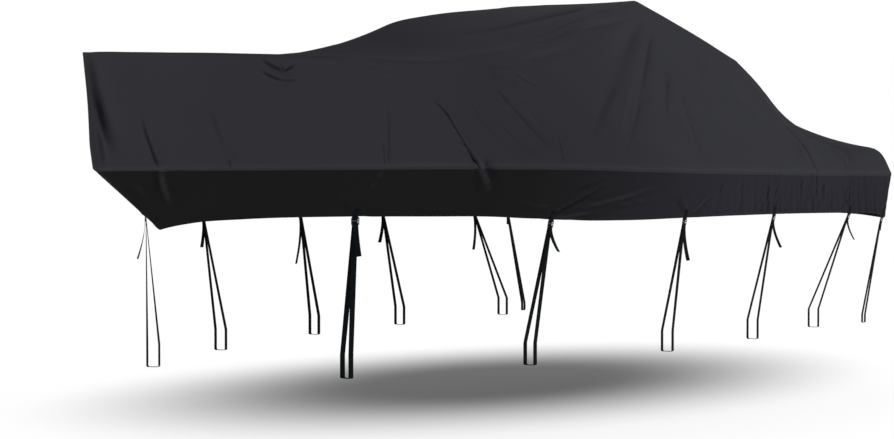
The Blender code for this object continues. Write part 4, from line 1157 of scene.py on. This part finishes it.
def mitre(seat, off):
    """Where a layer of webbing turns from the skirt's slope to the slider's."""
    middle = (hanging(seat, 1, 0) - seat.hem + seat.out).normalized()
    return seat.hem + middle * off / middle.dot(seat.out)


def tab_path(seat):
    """Webbing folded round the slider's top bar, one leg sewn on either face of the skirt."""
    turn = TOP_BAR_END + GAP + WEB / 2
    corner = WEB / 2 + GAP
    points = [sewn(seat, TAB_OFF, TAB_RISE), mitre(seat, TAB_OFF), hanging(seat, TAB_OFF, turn - corner),
              hanging(seat, TAB_OFF - corner, turn), hanging(seat, corner - TAB_OFF, turn),
              hanging(seat, -TAB_OFF, turn - corner), mitre(seat, -TAB_OFF),
              sewn(seat, -TAB_OFF, TAB_RISE)]
    return [(point, seat.along) for point in points]


def strap_path(strap, seat):
    """The strap: sewn end, inner run, round the beam, outer run, through the slider, tail."""
    beam_along, beam_out = beam_axes(strap)
    top = beam_top(strap, seat.hem)
    beside = strap.beam_width / 2 + WEB / 2
    foot = top - Vector((0, 0, strap.beam_height + WEB / 2))
    bend = min(BEAM_BEND, strap.beam_width / 3)
    path = [(sewn(seat, -SEWN_OFF, SEWN_END), seat.along), (mitre(seat, -SEWN_OFF), seat.along),
            (hanging(seat, -SEWN_OFF, SLIDER_END + CLEAR_OF_SLIDER), seat.along),
            (top - beam_out * beside, beam_along)]
    for side in (-1, 1):
        arc = [(foot + beam_out * side * (beside - bend * (1 - math.sin(a)))
                + Vector((0, 0, bend * (1 - math.cos(a)))), beam_along)
               for a in (math.pi / 2 * i / BEND_STEPS for i in range(BEND_STEPS + 1))]
        path += arc[::-1] if side < 0 else arc
    path += [(top + beam_out * beside, beam_along),
             (hanging(seat, -RUN_OFF, SLIDER_END + CLEAR_OF_SLIDER), seat.along)]
    over = BOTTOM_BAR_START - GAP - WEB / 2
    corner = GAP + WEB / 2
    for off, down in ((-RUN_OFF, over + corner), (corner - RUN_OFF, over), (RUN_OFF - corner, over),
                      (RUN_OFF, over + corner)):
        path.append((hanging(seat, off, down), seat.along))
    for i in range(TAIL_POINTS + 1):
        f = i / TAIL_POINTS
        point = hanging(seat, RUN_OFF + strap.reach * f ** 1.5, SLIDER_END + TAIL_GAP + strap.tail * f)
        path.append((point, Quaternion(seat.down, math.radians(strap.twist) * f) @ seat.along))
    return path


def rounded(path, radius):
    """Round a path's corners, and divide its long straight runs."""
    points = [path[0]]
    for before, here, after in zip(path, path[1:], path[2:]):
        back, ahead = before[0] - here[0], after[0] - here[0]
        reach = min(radius, BEND_SHARE * back.length, BEND_SHARE * ahead.length)
        if back.angle(-ahead, 0.0) < STRAIGHT:
            points.append(here)
            continue
        start, end = here[0] + back.normalized() * reach, here[0] + ahead.normalized() * reach
        for i in range(CORNER_STEPS + 1):
            f = i / CORNER_STEPS
            points.append((start * (1 - f) ** 2 + here[0] * 2 * f * (1 - f) + end * f ** 2, here[1]))
    points.append(path[-1])
    divided = [points[0]]
    for near, far in zip(points, points[1:]):
        count = max(1, math.ceil((far[0] - near[0]).length / RUN_STEP))
        for i in range(1, count + 1):
            f = i / count
            divided.append((near[0].lerp(far[0], f), near[1].lerp(far[1], f).normalized()))
    return divided


def webbing(name, path, surface_material, phase):
    """A band of webbing along a path of (point, direction across)."""
    half, skin = WEB_WIDTH / 2, WEB / 2
    edge, flat = half - WEB_EDGE, half - WEB_FLAT
    outline = [(-half, 0.0), (-edge, 0.75 * skin), (-flat, skin), (0.0, skin), (flat, skin),
               (edge, 0.75 * skin), (half, 0.0), (edge, -0.75 * skin), (flat, -skin), (0.0, -skin),
               (-flat, -skin), (-edge, -0.75 * skin)]
    rings, uvs, run = [], [], 0.0
    for k, (point, across) in enumerate(path):
        ahead = path[min(k + 1, len(path) - 1)][0] - path[max(k - 1, 0)][0]
        across = (across - ahead * across.dot(ahead) / max(ahead.length_squared, 1e-12)).normalized()
        normal = ahead.cross(across).normalized()
        if k:
            run += (point - path[k - 1][0]).length
        rings.append([point + across * x + normal * y for x, y in outline])
        uvs.append([(x, run + phase) for x, _ in outline])
    return ring_mesh(name, rings, uvs, surface_material)


def stitches(name, runs, pitch, radius, surface_material):
    """Rows of separate stitches; each run is a pair of arrays, points on the cloth and normals."""
    vertices, faces = [], []
    for points, normals in runs:
        marks = np.concatenate([[0.0], np.cumsum(length_of(np.diff(points, axis=0))[:, 0])])
        count = max(1, int(marks[-1] / pitch))
        for i in range(count):
            at = np.array(STITCH_SHAPE) * pitch + i * pitch
            spots = np.stack([np.interp(at, marks, column) for column in points.T], axis=1)
            normal = unit(np.array([np.interp(at[1], marks, column) for column in normals.T]))
            along = unit(spots[-1] - spots[0])
            across = np.cross(normal, along)
            base = len(vertices)
            vertices.append(spots[0] - normal * radius)
            for spot in spots[1:3]:
                vertices += [spot + across * radius, spot + normal * radius * 1.15,
                             spot - across * radius, spot - normal * radius]
            vertices.append(spots[3] - normal * radius)
            for j in range(4):
                n = (j + 1) % 4
                faces += [(base, base + 1 + n, base + 1 + j),
                          (base + 1 + j, base + 1 + n, base + 5 + n, base + 5 + j),
                          (base + 9, base + 5 + j, base + 5 + n)]
    mesh = bpy.data.meshes.new(name)
    mesh.from_pydata([tuple(v) for v in vertices], [], faces)
    mesh.shade_smooth()
    return new_object(name, mesh, surface_material)


def seam_run(side, proud, below=None, rise=None):
    """Points and normals of a stitch row, so far below the rub rail or so far above the hem."""
    s = np.linspace(0.0, LAST, SEAM_POINTS)
    drop = drop_at(s)
    t = -below / drop if rise is None else -1 + rise / drop
    sides = np.full_like(s, side)
    relief = deck_relief(s, t) if rise is None else skirt_relief(s, t)
    points = fit_to_seats(finished(s, t, sides, relief), fits)
    normals = bare_normals(s, t, sides)
    return points + normals * proud, normals


def slider_object(name, seat, surface_material):
    """The slider: three bars in a flat moulded frame, its edges rounded and its bars gripped."""
    outline = bpy.data.curves.new(name, "CURVE")
    outline.dimensions = "2D"
    outline.fill_mode = "BOTH"
    outline.extrude = SLIDER / 2 - SLIDER_EDGE
    outline.bevel_depth = SLIDER_EDGE
    outline.bevel_resolution = 2
    outline.offset = -SLIDER_EDGE
    half, slot, cut = SLIDER_WIDTH / 2, SLOT_WIDTH / 2, CORNER_CUT
    top, end = SLIDER_TOP, SLIDER_END
    rim = []
    for x, y, start in ((half - cut, top + cut, -90), (half - cut, end - cut, 0),
                        (-half + cut, end - cut, 90), (-half + cut, top + cut, 180)):
        rim += [(x + cut * math.cos(math.radians(start + a)), y + cut * math.sin(math.radians(start + a)))
                for a in (0, 30, 60, 90)]
    rings = [rim]
    for low, high in ((TOP_BAR_END, MIDDLE_BAR_START), (MIDDLE_BAR_END, BOTTOM_BAR_START)):
        rings.append([(-slot, low), (slot, low), (slot, high), (-slot, high)])
    for ring in rings:
        spline = outline.splines.new("POLY")
        spline.points.add(len(ring) - 1)
        for point, (across, down) in zip(spline.points, ring):
            point.co = (across, down, 0, 1)
        spline.use_cyclic_u = True
    source = bpy.data.objects.new(name + "_outline", outline)
    bpy.context.scene.collection.objects.link(source)
    bpy.context.view_layer.update()
    mesh = bpy.data.meshes.new_from_object(source.evaluated_get(bpy.context.evaluated_depsgraph_get()))
    bpy.data.objects.remove(source)
    normal = seat.along.cross(seat.down).normalized()
    turn = Matrix((seat.along, seat.down, normal)).transposed().to_4x4()
    turn.translation = seat.hem
    mesh.transform(turn)
    mesh.materials.clear()
    return new_object(name, mesh, surface_material)


def tab_stitching(seat):
    """The box and cross that sew the tab through the skirt, on its outer leg."""
    half, low, high = WEB_WIDTH / 2 - TAB_MARGIN, TAB_BOX_LOW, TAB_RISE - TAB_MARGIN
    corners = [(-half, low), (half, low), (half, high), (-half, high), (-half, low), (half, high)]
    lines = [corners[:5], [corners[0], corners[2]], [corners[1], corners[3]]]
    runs = []
    for line in lines:
        points = [seat.hem + seat.along * x + seat.up * y + seat.out * (TAB_OFF + WEB / 2)
                  for x, y in line]
        runs.append((np.array(points), np.array([seat.out] * len(points))))
    return runs


# ---- the stage
def plane(name, size, centre, surface_material):
    """A flat square of the stage."""
    body = bmesh.new()
    bmesh.ops.create_grid(body, x_segments=8, y_segments=8, size=size / 2)
    made = object_of(name, body, surface_material)
    made.location = centre
    return made


def floor_material():
    """Pale matt floor with a soft shadow under the cover, that fades to white far off."""
    made, tree, shader = shader_of("floor")
    place_on = own_place(tree)
    patch = node(tree, "Mapping", {"Vector": place_on, "Location": SHADOW_PLACE, "Scale": SHADOW_SIZE},
                 vector_type="TEXTURE").outputs[0]
    away, off = (node(tree, "VectorMath", {0: vector}, operation="LENGTH").outputs["Value"]
                 for vector in (place_on, patch))
    lit = eased(tree, off, SHADOW_CORE, SHADOW_EDGE, SHADOW_TONE, 1.0)
    pale = tone(tree, noise(tree, place_on, 0.8), FLOOR_DARK, FLOOR_LIGHT)
    feed(tree, shader, {"Base Color": blended(tree, lit, SHADOW_DARK, pale), "Roughness": 0.8})
    glow = maths(tree, "MULTIPLY", lit, eased(tree, away, FLOOR_NEAR, FLOOR_FAR, FLOOR_GLOW, 1.0))
    white = node(tree, "Emission", {"Color": (1, 1, 1, 1), "Strength": glow})
    both = node(tree, "MixShader", {0: eased(tree, away, FLOOR_NEAR, FLOOR_FAR, FLOOR_WHITE, 1.0),
                                    1: shader.outputs[0], 2: white.outputs[0]})
    tree.links.new(both.outputs[0], tree.nodes["Material Output"].inputs["Surface"])
    return made


def studio(world):
    """White round the horizon, a dimmer light from above."""
    world.use_nodes = True
    tree = world.node_tree
    tree.nodes.clear()
    heading = node(tree, "TexCoord").outputs["Generated"]
    rise = node(tree, "SeparateXYZ", {"Vector": heading}).outputs["Z"]
    shade = tone(tree, rise, (1, 1, 1), SKY_TOP, SKY_WHITE, SKY_HIGH)
    glow = node(tree, "Background", {"Color": shade, "Strength": 1.0})
    out = node(tree, "OutputWorld")
    tree.links.new(glow.outputs[0], out.inputs["Surface"])


def lamp(name, where, target, size, watts):
    """A square soft light."""
    data = bpy.data.lights.new(name, "AREA")
    data.shape = "SQUARE"
    data.size = size
    data.energy = watts
    made = bpy.data.objects.new(name, data)
    bpy.context.scene.collection.objects.link(made)
    made.location = where
    made.rotation_euler = (Vector(target) - Vector(where)).to_track_quat("-Z", "Y").to_euler()


# ---- the cover
deck_cloth = cloth_material("deck cloth", DECK_BOW, DECK_STERN)
# the skirt is the deck's cloth in painted shade, darkest towards the bow
skirt_cloth = cloth_material("skirt cloth", SKIRT_SHADED_BOW, SKIRT_SHADED_STERN)
web_cloth = webbing_material("webbing", *WEB_TONES)
tab_cloth = webbing_material("tab webbing", *TAB_TONES)
plastic = plastic_material("slider plastic", PLASTIC_TONE)
thread = thread_material("thread", THREAD_TONE)

coarse = coarse_skirt()
seats = [(strap, seat_of(strap, coarse)) for strap in STRAPS]
coarse.free()
fits = [(seat, hem_miss(strap, seat)) for strap, seat in seats]

stations = fine_stations(DECK_SPACING)
lap = [-below / drop_at(stations) for below in LAP_ROWS]
flank = [FLANK_START + FLANK_REACH * i / FLANK_STEPS for i in range(FLANK_STEPS + 1)]
roof = [ROOF_START + ROOF_REACH * i / ROOF_STEPS for i in range(ROOF_STEPS + 1)]
levels = RUB_LEVELS + flank + FLANK_END + SHOULDER_LEVELS + roof
columns = [list(row) + levels for row in np.array(lap).T]
grid = parameter_grid(stations, columns)
for splits in CREASE_SPLITS:
    split_near_creases(grid, *splits)
deck, deck_area = cloth_object("deck_cloth", grid, deck_relief, [], deck_cloth)
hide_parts("deck_panel")
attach(deck, "root")

stations = fine_stations(SKIRT_SPACING)
drop = drop_at(stations)
upper = [-below / drop for below in SKIRT_TOP_ROWS]
lower = [-1 + rise / drop for rise in HEM_ROWS]
middle = [upper[-1] + (lower[0] - upper[-1]) * i / SKIRT_STEPS for i in range(1, SKIRT_STEPS)]
columns = [list(row) for row in np.array(upper + middle + lower).T[:, ::-1]]
grid = parameter_grid(stations, columns)
skirt, skirt_area = cloth_object("skirt_cloth", grid, skirt_relief, fits, skirt_cloth)
thicken(skirt)
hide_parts("side_skirt")
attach(skirt, "root")
print("cloth areas", round(deck_area, 3), round(skirt_area, 3), "triangles",
      *(sum(len(face.vertices) - 2 for face in body.data.polygons) for body in (deck, skirt)))

for name, below, rise in (("seam_stitching", SEAM_STITCHES, ()), ("hem_stitching", (), HEM_STITCHES)):
    rows = [seam_run(side, THREAD / 2, below=row) for row in below for side in (1.0, -1.0)]
    rows += [seam_run(side, SHOWN_CLOTH / 2, rise=row) for row in rise for side in (1.0, -1.0)]
    sewing = stitches(name, rows, STITCH, THREAD, thread)
    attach(sewing, "root")

# ---- straps
for k, (strap, seat) in enumerate(seats):
    tab = webbing("tab_web_" + strap.name, rounded(tab_path(seat), TAB_BEND), tab_cloth, TAB_PHASE * k)
    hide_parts("tab_" + strap.name)
    slider = slider_object("slider_frame_" + strap.name, seat, plastic)
    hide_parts("slider_" + strap.name)
    band = webbing("strap_web_" + strap.name, rounded(strap_path(strap, seat), STRAP_BEND), web_cloth,
                   STRAP_PHASE * k)
    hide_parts("strap_" + strap.name)
    boxed = stitches("tab_stitching_" + strap.name, tab_stitching(seat), TAB_STITCH, TAB_THREAD, thread)
    for piece in (tab, slider, band, boxed):
        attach(piece, "root")

# ---- floor, light and camera
ground = -ORIGIN_HEIGHT
floor = plane("floor", FLOOR_SIZE, (0.0, 0.0, ground), floor_material())
world = bpy.context.scene.world or bpy.data.worlds.new("studio")
bpy.context.scene.world = world
studio(world)
lamp("key", KEY_PLACE, KEY_TARGET, KEY_SIZE, KEY_WATTS)

lens = bpy.data.cameras.new("camera")
lens.sensor_width = SENSOR
lens.lens = SENSOR * FOCAL / VIEW_WIDTH
camera = bpy.data.objects.new("camera", lens)
bpy.context.scene.collection.objects.link(camera)
camera.location = (CONSOLE_AFT + EYE_AHEAD, EYE_SIDE, EYE_HEIGHT - ORIGIN_HEIGHT)
camera.rotation_euler = Vector(LOOK).to_track_quat("-Z", "Y").to_euler()
bpy.context.scene.camera = camera
bpy.context.scene.view_settings.view_transform = "Standard"
